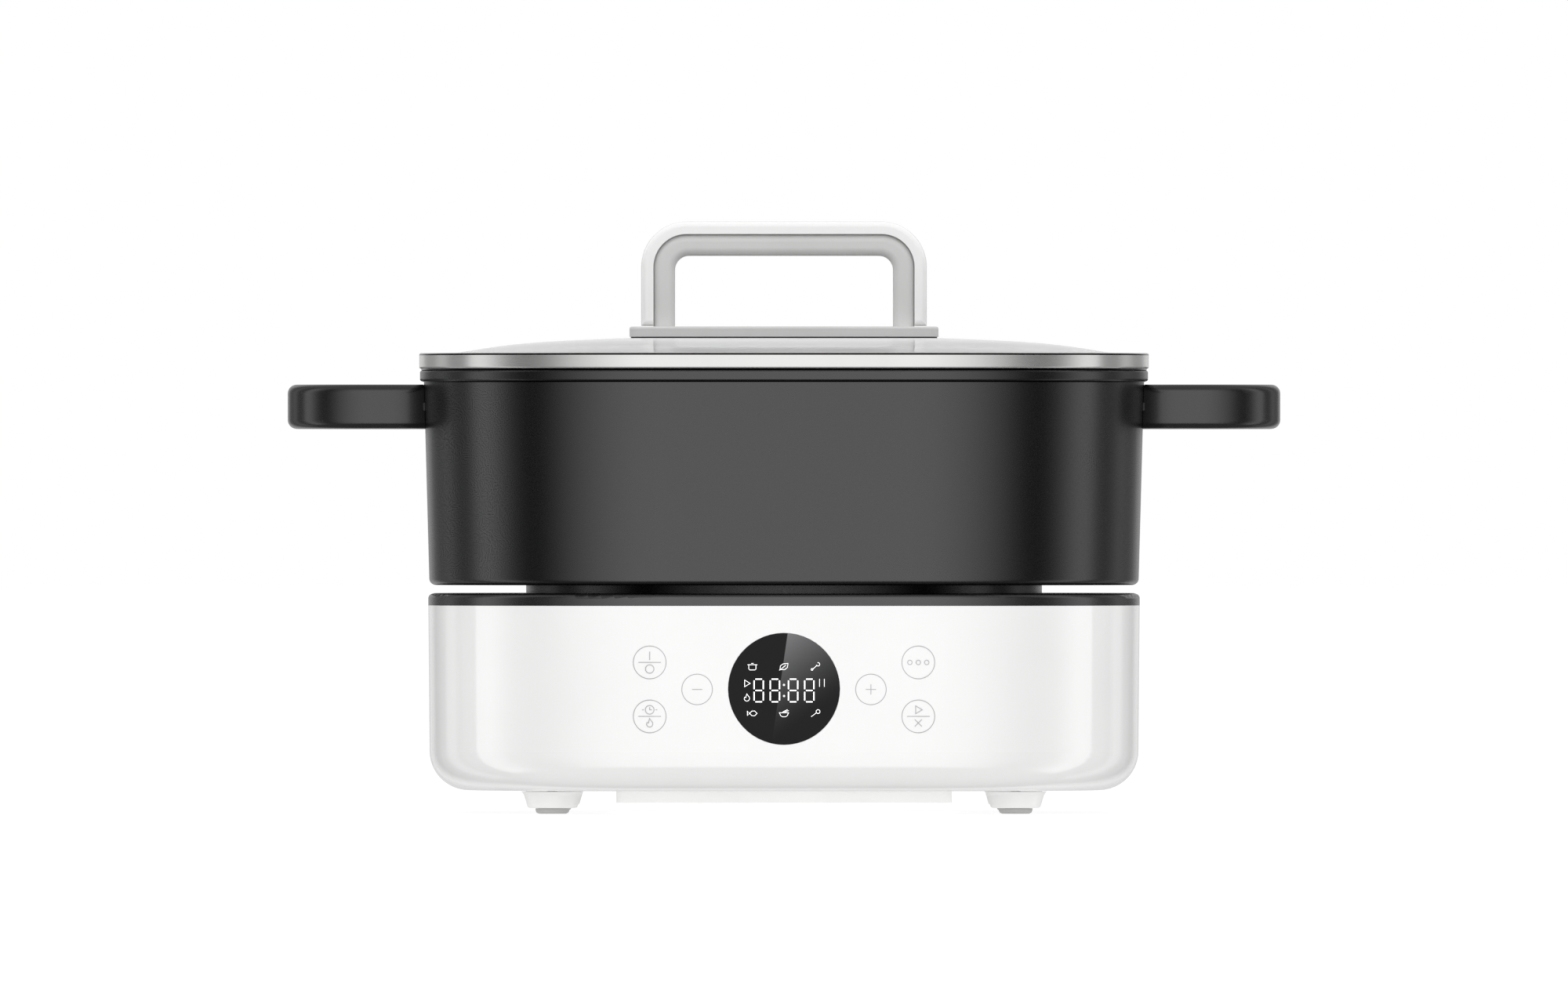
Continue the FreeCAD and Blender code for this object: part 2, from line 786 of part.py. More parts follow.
def sensor_cap():
    low = sensor_top_z - sensor_height
    body = round_level(rod(sensor_radius, (0, 0, low), sensor_height), sensor_edge_round, sensor_top_z)
    return [body.cut(rod(sensor_radius - sensor_wall, (0, 0, low), sensor_height - sensor_top))]


def sensor_holder():
    body = rod(sensor_radius - sensor_wall - seat_gap, (0, 0, holder_low), holder_height)
    return [body.cut(rod(holder_bore_radius, (0, 0, holder_low), holder_bore_depth))]


def sensor_spring():
    low = spring_floor + spring_wire_radius + seat_gap
    rise = (spring_space - 2 * spring_wire_radius - 2 * seat_gap) / (spring_turns * spring_steps)
    points = []
    for index in range(spring_turns * spring_steps + 1):
        angle = 2 * math.pi * index / spring_steps
        points.append((spring_coil_radius * math.cos(angle), spring_coil_radius * math.sin(angle),
                       low + index * rise))
    run = 2 * spring_coil_radius * math.sin(math.pi / spring_steps)
    bend = spring_bend_share * run / math.tan(math.pi / spring_steps)
    return [lead(points, spring_wire_radius, bend)]


def sensor_guide():
    low = spring_floor - guide_floor
    top = plate_low - seat_gap
    outer = guide_inner + guide_wall
    body = rod(outer, (0, 0, low), top - low)
    body = body.fuse(rod(outer + guide_flange_width, (0, 0, top - guide_flange_height), guide_flange_height))
    cuts = [rod(guide_inner, (0, 0, spring_floor), top - spring_floor + past)]
    cuts.append(rod(guide_hole_radius, (0, 0, low - past), guide_floor + 2 * past))
    for x, y in guide_screw_places():
        cuts.append(rod(guide_screw_radius + screw_gap, (x, y, top - guide_flange_height - past),
                        guide_flange_height + 2 * past))
    return [body.cut(Part.makeCompound(cuts)).removeSplitter()]


def guide_screws():
    seat = plate_low - seat_gap - guide_flange_height - touch_gap
    solids = [screw(x, y, seat, guide_screw_radius, guide_flange_height + guide_screw_bite,
                    guide_screw_head_radius, guide_screw_head_height) for x, y in guide_screw_places()]
    clip_seat = plate_low - fuse_clip_wall - seat_gap
    solids.append(screw(-fuse_distance - fuse_clip_foot, 0, clip_seat, guide_screw_radius,
                        fuse_clip_wall + fuse_clip_screw_bite, guide_screw_head_radius,
                        guide_screw_head_height))
    return solids


# --- Control board, display and touch pads -----------------------------------
def key_places():
    """Touch keys round the display: two stacked at each end, one nearer each side."""
    places = []
    for side in (-1, 1):
        places.append((side * key_outer_x, display_z + key_outer_z))
        places.append((side * key_outer_x, display_z - key_outer_z))
        places.append((side * key_inner_x, display_z))
    return places


def control_board():
    low = shell_low + control_board_low
    high = shell_low + control_board_high
    rear = board_front_y + board_thickness
    body = box((-control_board_half, board_front_y + touch_gap, low), (control_board_half, rear, high))
    for x, z in board_boss_places():
        body = body.cut(rod(board_screw_radius + screw_gap, (x, rear + past, z),
                            board_thickness + 2 * past, REAR * -1))
    chip = box((chip_x - chip_half[0], rear, display_z - chip_half[1]),
               (chip_x + chip_half[0], rear + chip_height, display_z + chip_half[1]))
    plug_half = ribbon_half + plug_margin
    plug = box((ribbon_x - plug_half, rear, low + plug_margin),
               (ribbon_x + plug_half, rear + plug_depth, low + plug_margin + plug_height))
    return [body.fuse(chip).fuse(plug).removeSplitter()]


def display_module():
    front = board_front_y - module_depth
    return [box((-module_half_width, front, display_z - module_half_height),
                (module_half_width, board_front_y, display_z + module_half_height))]


def display_lens():
    return [display_disc(lens_radius - lens_gap, lens_thickness - lens_gap)]


def touch_pads():
    length = board_standoff - wall_clear
    return [rod(key_pad_radius, (x, board_front_y, z), length, REAR * -1) for x, z in key_places()]


def control_board_screws():
    seat = board_front_y + board_thickness + touch_gap
    solids = []
    for x, z in board_boss_places():
        upright = screw(0, 0, 0, board_screw_radius, board_thickness + board_screw_bite - slip_gap,
                        board_screw_head_radius, board_screw_head_height)
        upright.rotate(V(0, 0, 0), V(1, 0, 0), 90)
        solids.append(moved(upright, x, seat, z))
    return solids


# --- Power board -------------------------------------------------------------
def on_power_board(size, place):
    """Block standing on the power board, placed from the board's centre."""
    x = place[0]
    y = power_board_centre_y() + place[1]
    return box((x - size[0] / 2, y - size[1] / 2, power_board_top + touch_gap),
               (x + size[0] / 2, y + size[1] / 2, power_board_top + size[2]))


def power_board():
    y = power_board_centre_y()
    body = box((-power_board_half_x, y - power_board_half_y, power_board_low + touch_gap),
               (power_board_half_x, y + power_board_half_y, power_board_top))
    for x, hole_y in power_boss_places():
        body = body.cut(rod(board_screw_radius + screw_gap, (x, hole_y, power_board_low - past),
                            board_thickness + 2 * past))
    return [body]


def round_upright(block, radius):
    """Fillet a block's four upright edges."""
    return block.makeFillet(radius, [edge for edge in block.Edges if edge.BoundBox.ZLength > radius])


def relay():
    return [round_upright(on_power_board(relay_size, relay_place), component_round)]


def capacitor():
    return [round_upright(on_power_board(capacitor_size, capacitor_place), component_round)]


def terminal_block():
    return [on_power_board(terminal_block_size, terminal_block_place)]


def power_board_screws():
    seat = power_board_top + touch_gap
    return [screw(x, y, seat, board_screw_radius, board_thickness + board_screw_bite - slip_gap,
                  board_screw_head_radius, board_screw_head_height, DOWN) for x, y in power_boss_places()]


# --- Appliance inlet ---------------------------------------------------------
inlet_face_y = shell_half_top + seat_gap + inlet_flange_thickness
pin_places = [(-pin_spacing, -pin_drop), (0.0, pin_drop), (pin_spacing, -pin_drop)]
pin_tail_y = inlet_face_y - inlet_body_depth - pin_tail


def inlet_socket():
    flange = slab(inlet_flange_half_x, inlet_flange_half_z, inlet_corner, -inlet_flange_thickness, 0)
    flange = round_level(flange, inlet_flange_round, 0)
    body = slab(inlet_body_half_x, inlet_body_half_z, inlet_corner, -inlet_body_depth,
                -inlet_flange_thickness / 2)
    body = flange.fuse(body)
    cuts = [slab(inlet_mouth_half_x, inlet_mouth_half_z, inlet_corner, -inlet_mouth_depth, past)]
    half_x = pin_half_width + pin_fit
    half_z = pin_half_height + pin_fit
    for x, z in pin_places:
        cuts.append(box((x - half_x, -z - half_z, -inlet_body_depth - past), (x + half_x, -z + half_z, 0)))
    for x in (-inlet_screw_x, inlet_screw_x):
        cuts.append(rod(inlet_screw_radius + screw_gap, (x, 0, -inlet_flange_thickness - past),
                        inlet_flange_thickness + 2 * past))
        cuts.append(rod(inlet_screw_head_radius + slip_gap, (x, 0, -inlet_screw_recess),
                        inlet_screw_recess + past))
    return [stand_rear(body.cut(Part.makeCompound(cuts)).removeSplitter(), inlet_face_y)]


def inlet_pins():
    solids = []
    for x, z in pin_places:
        pin = box((x - pin_half_width, pin_tail_y, inlet_z + z - pin_half_height),
                  (x + pin_half_width, inlet_face_y - pin_recess, inlet_z + z + pin_half_height))
        solids.append(pin)
    return solids


def inlet_screws():
    solids = []
    for x in (-inlet_screw_x, inlet_screw_x):
        upright = screw(0, 0, 0, inlet_screw_radius, inlet_screw_length, inlet_screw_head_radius,
                        inlet_screw_head_height)
        upright.rotate(V(0, 0, 0), V(1, 0, 0), 90)
        solids.append(moved(upright, x, inlet_face_y - inlet_screw_recess + touch_gap, inlet_z))
    return solids


def lead_start(index):
    x, z = pin_places[index]
    return (x, pin_tail_y - seat_gap, inlet_z + z)


def mains_leads():
    solids = []
    block_y = power_board_centre_y() + terminal_block_place[1]
    block_top = power_board_top + terminal_block_size[2] + seat_gap
    for index in (0, 2):
        x, y, z = lead_start(index)
        solids.append(lead([(x, y, z), (x, block_y, z), (x, block_y, block_top)], lead_radius, lead_bend))
    return solids


def earth_lead():
    x, y, z = lead_start(1)
    turn_y = shield_radius() - earth_lead_inset
    top = plate_low - shield_drop - seat_gap
    return [lead([(x, y, z), (x, turn_y, z), (x, turn_y, top)], lead_radius, lead_bend)]


def element_leads():
    solids = []
    for x, y in element_ends():
        top = element_tail_low() - insulator_height - terminal_length - 2 * seat_gap
        low = power_board_top + seat_gap
        knee = (top + low) / 2
        end_x = x + math.copysign(element_lead_step, x)
        end_y = power_board_centre_y() - element_lead_inset
        points = [(x, y, top), (x, y, knee), (end_x, end_y, knee - element_lead_step), (end_x, end_y, low)]
        solids.append(lead(points, lead_radius, element_lead_bend))
    return solids


def ribbon_lead():
    """Flat lead from the control board's plug, along the floor, to the power board."""
    half = ribbon_thickness / 2
    start_y = board_front_y + board_thickness + plug_depth + seat_gap
    start_z = shell_low + control_board_low + plug_margin + plug_height / 2
    bend_y = start_y + ribbon_run
    floor_z = floor_top + seat_gap + half
    end_y = power_board_centre_y() + power_board_half_y - ribbon_end_inset
    points = [V(0, start_y, start_z), V(0, bend_y, start_z),
              V(0, bend_y + ribbon_run, floor_z), V(0, end_y, floor_z)]
    upper = [V(ribbon_x - ribbon_half, p.y, p.z + half) for p in points]
    lower = [V(ribbon_x - ribbon_half, p.y, p.z - half) for p in reversed(points)]
    flat = Part.Face(Part.makePolygon(upper + lower + upper[:1]))
    return [flat.extrude(V(2 * ribbon_half, 0, 0))]


# --- Pot ---------------------------------------------------------------------
def pot_outside(extra):
    """The pot's tapered side, grown outwards by extra."""
    return plan_block(pot_half_low + extra, pot_half_top + extra, pot_low, pot_side_top)


def pot_body():
    body = round_level(pot_outside(0.0), pot_edge_round, pot_low)
    rim = plan_block(pot_rim_half, pot_rim_half, pot_side_top, pot_top)
    rim = round_level(rim, pot_rim_round, pot_top)
    rim = round_level(rim, pot_rim_round, pot_side_top)
    body = body.fuse(rim)
    body = body.fuse(rod(pot_foot_radius, (0, 0, deck_top + seat_gap), pot_foot_height))
    inside = plan_block(pot_half_low - pot_wall, mouth_half, pot_floor_top, pot_side_top)
    inside = round_level(inside, pot_inner_round, pot_floor_top)
    mouth = plan_block(mouth_half, mouth_half, pot_side_top, pot_top + past)
    return [body.cut(inside).cut(mouth).removeSplitter()]


# --- Side handles ------------------------------------------------------------
handle_top = pot_side_top - handle_drop
handle_low = handle_top - handle_thickness
handle_end = pot_rim_half + handle_reach
tab_y = handle_half_width - handle_leg / 2
tab_mid_z = (handle_low + handle_top) / 2
tab_end = pot_half_top + tab_reach
tab_screw_x = tab_end - tab_screw_inset
tab_screw_seat = handle_low + tab_screw_recess + tab_screw_head_height


def side_handle():
    inboard = pot_half_low - handle_bar
    centre = (inboard + handle_end) / 2
    loop = slab(handle_end - centre, handle_half_width, handle_corner, handle_low, handle_top, centre)
    inner_end = handle_end - handle_bar
    hole_low = inboard - handle_corner
    hole_centre = (hole_low + inner_end) / 2
    loop = loop.cut(slab(inner_end - hole_centre, handle_half_width - handle_leg, handle_inner_corner,
                         handle_low - past, handle_top + past, hole_centre))
    loop = round_level(loop, handle_round, handle_top)
    loop = round_level(loop, handle_round, handle_low)
    loop = loop.cut(pot_outside(slip_gap / 2))
    slot_half_y = tab_half_width + slip_gap
    slot_half_z = (tab_thickness + slip_gap) / 2
    cuts = []
    for y in (-tab_y, tab_y):
        cuts.append(box((inboard, y - slot_half_y, tab_mid_z - slot_half_z),
                        (tab_end + slip_gap, y + slot_half_y, tab_mid_z + slot_half_z)))
        cuts.append(rod(tab_screw_radius + screw_gap, (tab_screw_x, y, handle_low - past),
                        tab_mid_z + tab_thickness + 2 * past - handle_low))
        cuts.append(rod(tab_screw_head_radius + slip_gap, (tab_screw_x, y, handle_low - past),
                        past + tab_screw_seat - handle_low))
    return loop.cut(Part.makeCompound(cuts)).removeSplitter()


def handle_tabs():
    solids = []
    for y in (-tab_y, tab_y):
        tab = box((pot_half_low, y - tab_half_width, tab_mid_z - tab_thickness / 2),
                  (tab_end, y + tab_half_width, tab_mid_z + tab_thickness / 2))
        tab = tab.cut(pot_outside(touch_gap))
        tab = tab.cut(rod(tab_screw_radius + screw_gap, (tab_screw_x, y, handle_low), handle_thickness))
        solids.append(tab)
    return solids + [mirrored_x(tab) for tab in solids]


def side_handle_screws():
    length = tab_mid_z + tab_thickness - tab_screw_seat
    solids = [screw(tab_screw_x, y, tab_screw_seat - touch_gap, tab_screw_radius, length,
                    tab_screw_head_radius, tab_screw_head_height) for y in (-tab_y, tab_y)]
    return solids + [mirrored_x(solid) for solid in solids]


# --- Lid ---------------------------------------------------------------------
glass_half = band_half - band_wall - glass_edge_gap
arch_outer_leg = arch_half - cover_leg_wall
leg_inner = arch_outer_leg - grip_wall
lid_screw_x = leg_inner + lid_screw_inset


def dome(lower_by):
    """Smooth dome block under the glass's top surface, lowered by lower_by."""
    wires = [plan_wire(glass_half - inset, glass_edge_top + rise - lower_by) for inset, rise in dome_profile]
    return Part.makeLoft(wires, True, False)


def lid_glass():
    edge = plan_block(glass_half, glass_half, glass_low, glass_edge_top)
    body = edge.fuse(dome(0.0)).cut(dome(glass_thickness))
    glass_cut = glass_top - glass_low + past
    for x in (-lid_screw_x, lid_screw_x):
        body = body.cut(rod(lid_screw_radius + lid_sleeve_gap, (x, 0, glass_low), glass_cut))
    body = body.cut(rod(vent_radius + vent_wall + screw_gap, (0, vent_y, glass_low), glass_cut))
    return [body.removeSplitter()]


def lid_rim():
    band = plan_block(band_half, band_half, band_low, band_top)
    band = round_level(band, band_round, band_top)
    band = round_level(band, band_round, band_low)
    band = band.cut(plan_block(band_half - band_wall, band_half - band_wall, band_low - past,
                               band_top - lip_thickness))
    band = band.cut(plan_block(band_half - lip_width, band_half - lip_width, band_low - past,
                               band_top + past))
    skirt_half = mouth_half - skirt_gap
    web_top = web_low + web_thickness
    web = plan_ring(band_half - band_wall + web_weld, skirt_half - skirt_wall, web_low, web_top)
    skirt = plan_ring(skirt_half, skirt_half - skirt_wall, web_low - skirt_depth, web_top)
    return [band.fuse(web).fuse(skirt).removeSplitter()]


def vent_grommet():
    tube = rod(vent_radius + vent_wall, (0, vent_y, glass_top - glass_thickness - seat_gap),
               glass_thickness + 2 * seat_gap)
    top = rod(vent_flange_radius, (0, vent_y, glass_top + seat_gap / 2), vent_flange_height)
    low = rod(vent_flange_radius, (0, vent_y, glass_top - glass_thickness - seat_gap / 2),
              vent_flange_height, DOWN)
    bore = rod(vent_radius, (0, vent_y, glass_low), glass_top + vent_flange_height + past - glass_low)
    return [tube.fuse(top).fuse(low).cut(bore).removeSplitter()]


# --- Lid handle --------------------------------------------------------------
def lid_screw_holes(radius):
    return [rod(radius, (x, 0, glass_low), flange_top + lid_screw_bite - glass_low)
            for x in (-lid_screw_x, lid_screw_x)]


def arch_block(half, top, corner, low, half_depth):
    """Block with its two upper edges rounded, standing on low."""
    block = box((-half, -half_depth, low), (half, half_depth, top))
    edges = []
    for edge in block.Edges:
        bounds = edge.BoundBox
        if bounds.ZMin > top - tiny and bounds.YLength > half_depth:
            edges.append(edge)
    return block.makeFillet(corner, edges)


def soften(shape, radius, half_depth, half_limit):
    """Round the arch's long front and rear edges that lie within half_limit of the middle."""
    edges = []
    for edge in shape.Edges:
        bounds = edge.BoundBox
        flat = bounds.YLength < tiny and abs(abs(bounds.YMin) - half_depth) < tiny
        reach = max(abs(bounds.XMin), abs(bounds.XMax))
        level = bounds.ZLength < tiny and bounds.ZMax < flange_top
        if flat and reach < half_limit and not level:
            edges.append(edge)
    return shape.makeFillet(radius, edges)


def handle_gasket():
    body = slab(flange_half_x - gasket_inset, flange_half_y - gasket_inset, flange_corner - gasket_inset,
                glass_top + seat_gap / 2, flange_low - seat_gap / 2)
    return [body.cut(Part.makeCompound(lid_screw_holes(lid_screw_radius + screw_gap)))]


def handle_grip():
    top = arch_top - cover_top_wall - seat_gap
    outer_half = arch_outer_leg - seat_gap
    arch = arch_block(outer_half, top, arch_round - cover_top_wall, flange_low, grip_half_depth)
    hole = arch_block(leg_inner, arch_top - cover_top_wall - grip_wall, grip_inner_round,
                      flange_low - past, grip_half_depth + past)
    arch = soften(arch.cut(hole), grip_soft_round, grip_half_depth, leg_inner + tiny)
    flange = slab(flange_half_x, flange_half_y, flange_corner, flange_low, flange_top)
    flange = round_level(flange, flange_round, flange_top)
    body = arch.fuse(flange)
    return [body.cut(Part.makeCompound(lid_screw_holes(lid_screw_radius + screw_gap))).removeSplitter()]


def handle_cover():
    low = flange_top + slip_gap
    outer = arch_block(arch_half, arch_top, arch_round, low, arch_half_depth)
    outer = soften(outer, arch_edge_round, arch_half_depth, arch_half + tiny)
    inner = arch_block(arch_outer_leg, arch_top - cover_top_wall, arch_round - cover_top_wall,
                       low - past, arch_half_depth + past)
    return [outer.cut(inner).removeSplitter()]


def lid_handle_washers():
    top = glass_top - glass_thickness - seat_gap / 2
    solids = []
    for x in (-lid_screw_x, lid_screw_x):
        washer = rod(washer_radius, (x, 0, top), washer_thickness, DOWN)
        solids.append(washer.cut(rod(lid_screw_radius + screw_gap, (x, 0, top - washer_thickness - past),
                                     washer_thickness + 2 * past)))
    return solids


def lid_handle_screws():
    seat = glass_top - glass_thickness - washer_thickness - seat_gap
    length = flange_top + lid_screw_bite - slip_gap - seat
    return [screw(x, 0, seat, lid_screw_radius, length, lid_screw_head_radius, lid_screw_head_height)
            for x in (-lid_screw_x, lid_screw_x)]


# --- Write every node --------------------------------------------------------
handle_right = side_handle()
nodes = {
    "base_shell": [base_shell()],
    "feet": feet(),
    "foot_pads": foot_pads(),
    "foot_screws": foot_screws(),
    "bottom_cover": bottom_cover(),
    "bottom_cover_screws": bottom_cover_screws(),
    "deck_ring": deck_ring(),
    "plate_seal": plate_seal(),
    "heating_plate": heating_plate(),
    "heating_element": heating_element(),
    "element_terminals": element_terminals(),
    "heat_shield": heat_shield(),
    "plate_screws": plate_screws(),
    "thermal_fuse": thermal_fuse(),
    "fuse_clip": fuse_clip(),
    "sensor_cap": sensor_cap(),
    "sensor_holder": sensor_holder(),
    "sensor_spring": sensor_spring(),
    "sensor_guide": sensor_guide(),
    "guide_screws": guide_screws(),
    "control_board": control_board(),
    "display_module": display_module(),
    "display_lens": display_lens(),
    "touch_pads": touch_pads(),
    "control_board_screws": control_board_screws(),
    "power_board": power_board(),
    "relay": relay(),
    "capacitor": capacitor(),
    "terminal_block": terminal_block(),
    "power_board_screws": power_board_screws(),
    "inlet_socket": inlet_socket(),
    "inlet_pins": inlet_pins(),
    "inlet_screws": inlet_screws(),
    "mains_leads": mains_leads(),
    "earth_lead": earth_lead(),
    "element_leads": element_leads(),
    "ribbon_lead": ribbon_lead(),
    "pot_body": pot_body(),
    "side_handle_right": [handle_right],
    "side_handle_left": [mirrored_x(handle_right)],
    "handle_tabs": handle_tabs(),
    "side_handle_screws": side_handle_screws(),
    "lid_glass": lid_glass(),
    "lid_rim": lid_rim(),
    "vent_grommet": vent_grommet(),
    "handle_gasket": handle_gasket(),
    "handle_grip": handle_grip(),
    "handle_cover": handle_cover(),
    "lid_handle_washers": lid_handle_washers(),
    "lid_handle_screws": lid_handle_screws(),
}

os.makedirs("parts", exist_ok=True)
for name, solids in nodes.items():
    found = [solid for shape in solids for solid in shape.Solids]
    shape = found[0] if len(found) == 1 else Part.makeCompound(found)
    shape.exportStep("parts/" + name + ".step")
    print("%-22s %2d solids, valid %s, volume %.1f" % (name, len(found), shape.isValid(), shape.Volume))
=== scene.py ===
import bpy
import bmesh
import json
import math
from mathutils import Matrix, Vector


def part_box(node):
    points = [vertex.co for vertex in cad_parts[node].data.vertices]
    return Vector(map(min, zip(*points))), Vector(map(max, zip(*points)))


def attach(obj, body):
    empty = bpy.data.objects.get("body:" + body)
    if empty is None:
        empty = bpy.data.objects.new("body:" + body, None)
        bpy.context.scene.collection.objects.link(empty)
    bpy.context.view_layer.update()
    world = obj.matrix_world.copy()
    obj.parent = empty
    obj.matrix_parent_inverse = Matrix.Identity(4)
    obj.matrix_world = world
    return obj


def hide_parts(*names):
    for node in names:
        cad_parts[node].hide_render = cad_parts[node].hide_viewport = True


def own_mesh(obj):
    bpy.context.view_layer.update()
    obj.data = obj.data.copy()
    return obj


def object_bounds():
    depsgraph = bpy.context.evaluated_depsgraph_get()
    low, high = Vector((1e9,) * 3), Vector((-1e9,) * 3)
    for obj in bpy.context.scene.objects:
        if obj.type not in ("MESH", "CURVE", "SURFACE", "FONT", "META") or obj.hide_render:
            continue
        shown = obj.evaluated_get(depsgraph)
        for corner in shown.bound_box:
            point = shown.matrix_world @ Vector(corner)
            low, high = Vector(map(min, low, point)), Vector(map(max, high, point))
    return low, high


# Looks for the electric hot pot: materials, printed keys, display, lights and camera.
# Metres, in the CAD frame: +Z up, the front faces -Y.

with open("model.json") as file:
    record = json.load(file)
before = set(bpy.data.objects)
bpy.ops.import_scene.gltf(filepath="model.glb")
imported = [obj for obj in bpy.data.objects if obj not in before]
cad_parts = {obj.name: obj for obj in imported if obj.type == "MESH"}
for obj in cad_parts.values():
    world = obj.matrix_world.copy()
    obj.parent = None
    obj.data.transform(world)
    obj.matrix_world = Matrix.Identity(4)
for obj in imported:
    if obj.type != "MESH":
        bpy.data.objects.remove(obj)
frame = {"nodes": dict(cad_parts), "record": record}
cad_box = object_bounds()
nodes = frame["nodes"]
scene = bpy.context.scene
MM = 0.001


# --- Node helpers -----------------------------------------------------------------
def new_node(tree, kind, **inputs):
    """New node with its inputs set; an underscore in a keyword stands for a space."""
    node = tree.nodes.new(kind)
    for key, value in inputs.items():
        node.inputs[key.replace("_", " ")].default_value = value
    return node


def math_node(tree, operation, *values):
    """Result of a sum on numbers and sockets."""
    node = tree.nodes.new("ShaderNodeMath")
    node.operation = operation
    for index, value in enumerate(values):
        if isinstance(value, (int, float)):
            node.inputs[index].default_value = value
        else:
            tree.links.new(value, node.inputs[index])
    return node.outputs["Value"]


def object_place(tree):
    return tree.nodes.new("ShaderNodeTexCoord").outputs["Object"]


def object_axes(tree):
    """X and Z of the point on the object, in metres."""
    apart = tree.nodes.new("ShaderNodeSeparateXYZ")
    tree.links.new(object_place(tree), apart.inputs["Vector"])
    return apart.outputs["X"], apart.outputs["Z"]


def noise(tree, scale, detail=3.0, stretch=(1.0, 1.0, 1.0)):
    """Noise in object space; scale is per metre."""
    mapping = new_node(tree, "ShaderNodeMapping", Scale=stretch)
    texture = new_node(tree, "ShaderNodeTexNoise", Scale=scale, Detail=detail)
    tree.links.new(object_place(tree), mapping.inputs["Vector"])
    tree.links.new(mapping.outputs["Vector"], texture.inputs["Vector"])
    return texture.outputs["Fac"]


def mapped(tree, value, low, high, start=0.3, end=0.7):
    """Value spread so that start to end becomes low to high."""
    node = new_node(tree, "ShaderNodeMapRange", From_Min=start, From_Max=end, To_Min=low, To_Max=high)
    tree.links.new(value, node.inputs["Value"])
    return node.outputs["Result"]


def two_tone(tree, value, first, second, start=0.3, end=0.7):
    """Colour that runs from first at start to second at end."""
    node = tree.nodes.new("ShaderNodeValToRGB")
    node.color_ramp.elements[0].position = start
    node.color_ramp.elements[0].color = (*first, 1.0)
    node.color_ramp.elements[1].position = end
    node.color_ramp.elements[1].color = (*second, 1.0)
    tree.links.new(value, node.inputs["Fac"])
    return node.outputs["Color"]


def mixed(tree, share, first, second):
    """Turns the first colour into the second, an even one, as share goes from 0 to 1."""
    node = tree.nodes.new("ShaderNodeMix")
    node.data_type = "RGBA"
    node.inputs["B"].default_value = (*second, 1.0)
    tree.links.new(share, node.inputs["Factor"])
    tree.links.new(first, node.inputs["A"])
    return node.outputs["Result"]


def bump(tree, shader, value, depth, strength=1.0):
    node = new_node(tree, "ShaderNodeBump", Strength=strength, Distance=depth)
    tree.links.new(value, node.inputs["Height"])
    tree.links.new(node.outputs["Normal"], shader.inputs["Normal"])


def shades(colour, spread):
    """A little darker and a little lighter than colour."""
    darker = tuple(channel * (1 - spread) for channel in colour)
    lighter = tuple(min(1.0, channel * (1 + spread)) for channel in colour)
    return darker, lighter


def shader_of(material):
    return material.node_tree, material.node_tree.nodes["Principled BSDF"]


def new_material(name):
    material = bpy.data.materials.new(name)
    material.use_nodes = True
    return material, *shader_of(material)


# --- Kinds of material ------------------------------------------------------------
def surface(name, colour, roughness, metallic=0.0, spread=0.04, rough_spread=0.04, blotch=30.0,
            grain=1500.0, depth=0.01 * MM, stretch=(1.0, 1.0, 1.0), coat=0.0, specular=0.5, ior=1.5):
    """Moulded, coated or metal surface: cloudy tint, uneven gloss and a fine grain."""
    material, tree, shader = new_material(name)
    shader.inputs["Metallic"].default_value = metallic
    shader.inputs["Specular IOR Level"].default_value = specular
    shader.inputs["IOR"].default_value = ior
    shader.inputs["Coat Weight"].default_value = coat
    shader.inputs["Coat Roughness"].default_value = 0.04
    clouds = noise(tree, blotch)
    tree.links.new(two_tone(tree, clouds, *shades(colour, spread)), shader.inputs["Base Color"])
    fine = noise(tree, grain, 2.0, stretch)
    rough = mapped(tree, fine, max(0.02, roughness - rough_spread), roughness + rough_spread)
    tree.links.new(rough, shader.inputs["Roughness"])
    bump(tree, shader, fine, depth)
    return material


def painted_shade_bands(material, spans):
    """Painted shade: makes the surface near black, with hardly any gloss, between the two heights of each
    span.
    """
    tree, shader = shader_of(material)
    z = object_axes(tree)[1]
    shade_share = 0.0
    for low, high in spans:
        inside = math_node(tree, "COMPARE", z, (low + high) / 2, (high - low) / 2)
        shade_share = math_node(tree, "ADD", shade_share, inside)
    tint = shader.inputs["Base Color"].links[0].from_socket
    tree.links.new(mixed(tree, shade_share, tint, (0.002, 0.002, 0.002)), shader.inputs["Base Color"])
    metal = shader.inputs["Metallic"].default_value
    tree.links.new(mapped(tree, shade_share, metal, 1.0, 0.0, 1.0), shader.inputs["Metallic"])
    return material


def speckled(name, colour, fleck, roughness, scale, depth, specular=0.5, ior=1.5):
    """Coating with a very fine light fleck in it."""
    material = surface(name, colour, roughness, grain=scale, depth=depth, spread=0.08, specular=specular,
                       ior=ior)
    tree, shader = shader_of(material)
    flecks = new_node(tree, "ShaderNodeTexVoronoi", Scale=scale * 0.8)
    tree.links.new(object_place(tree), flecks.inputs["Vector"])
    tint = two_tone(tree, flecks.outputs["Distance"], fleck, colour, 0.08, 0.3)
    tree.links.new(tint, shader.inputs["Base Color"])
    return material


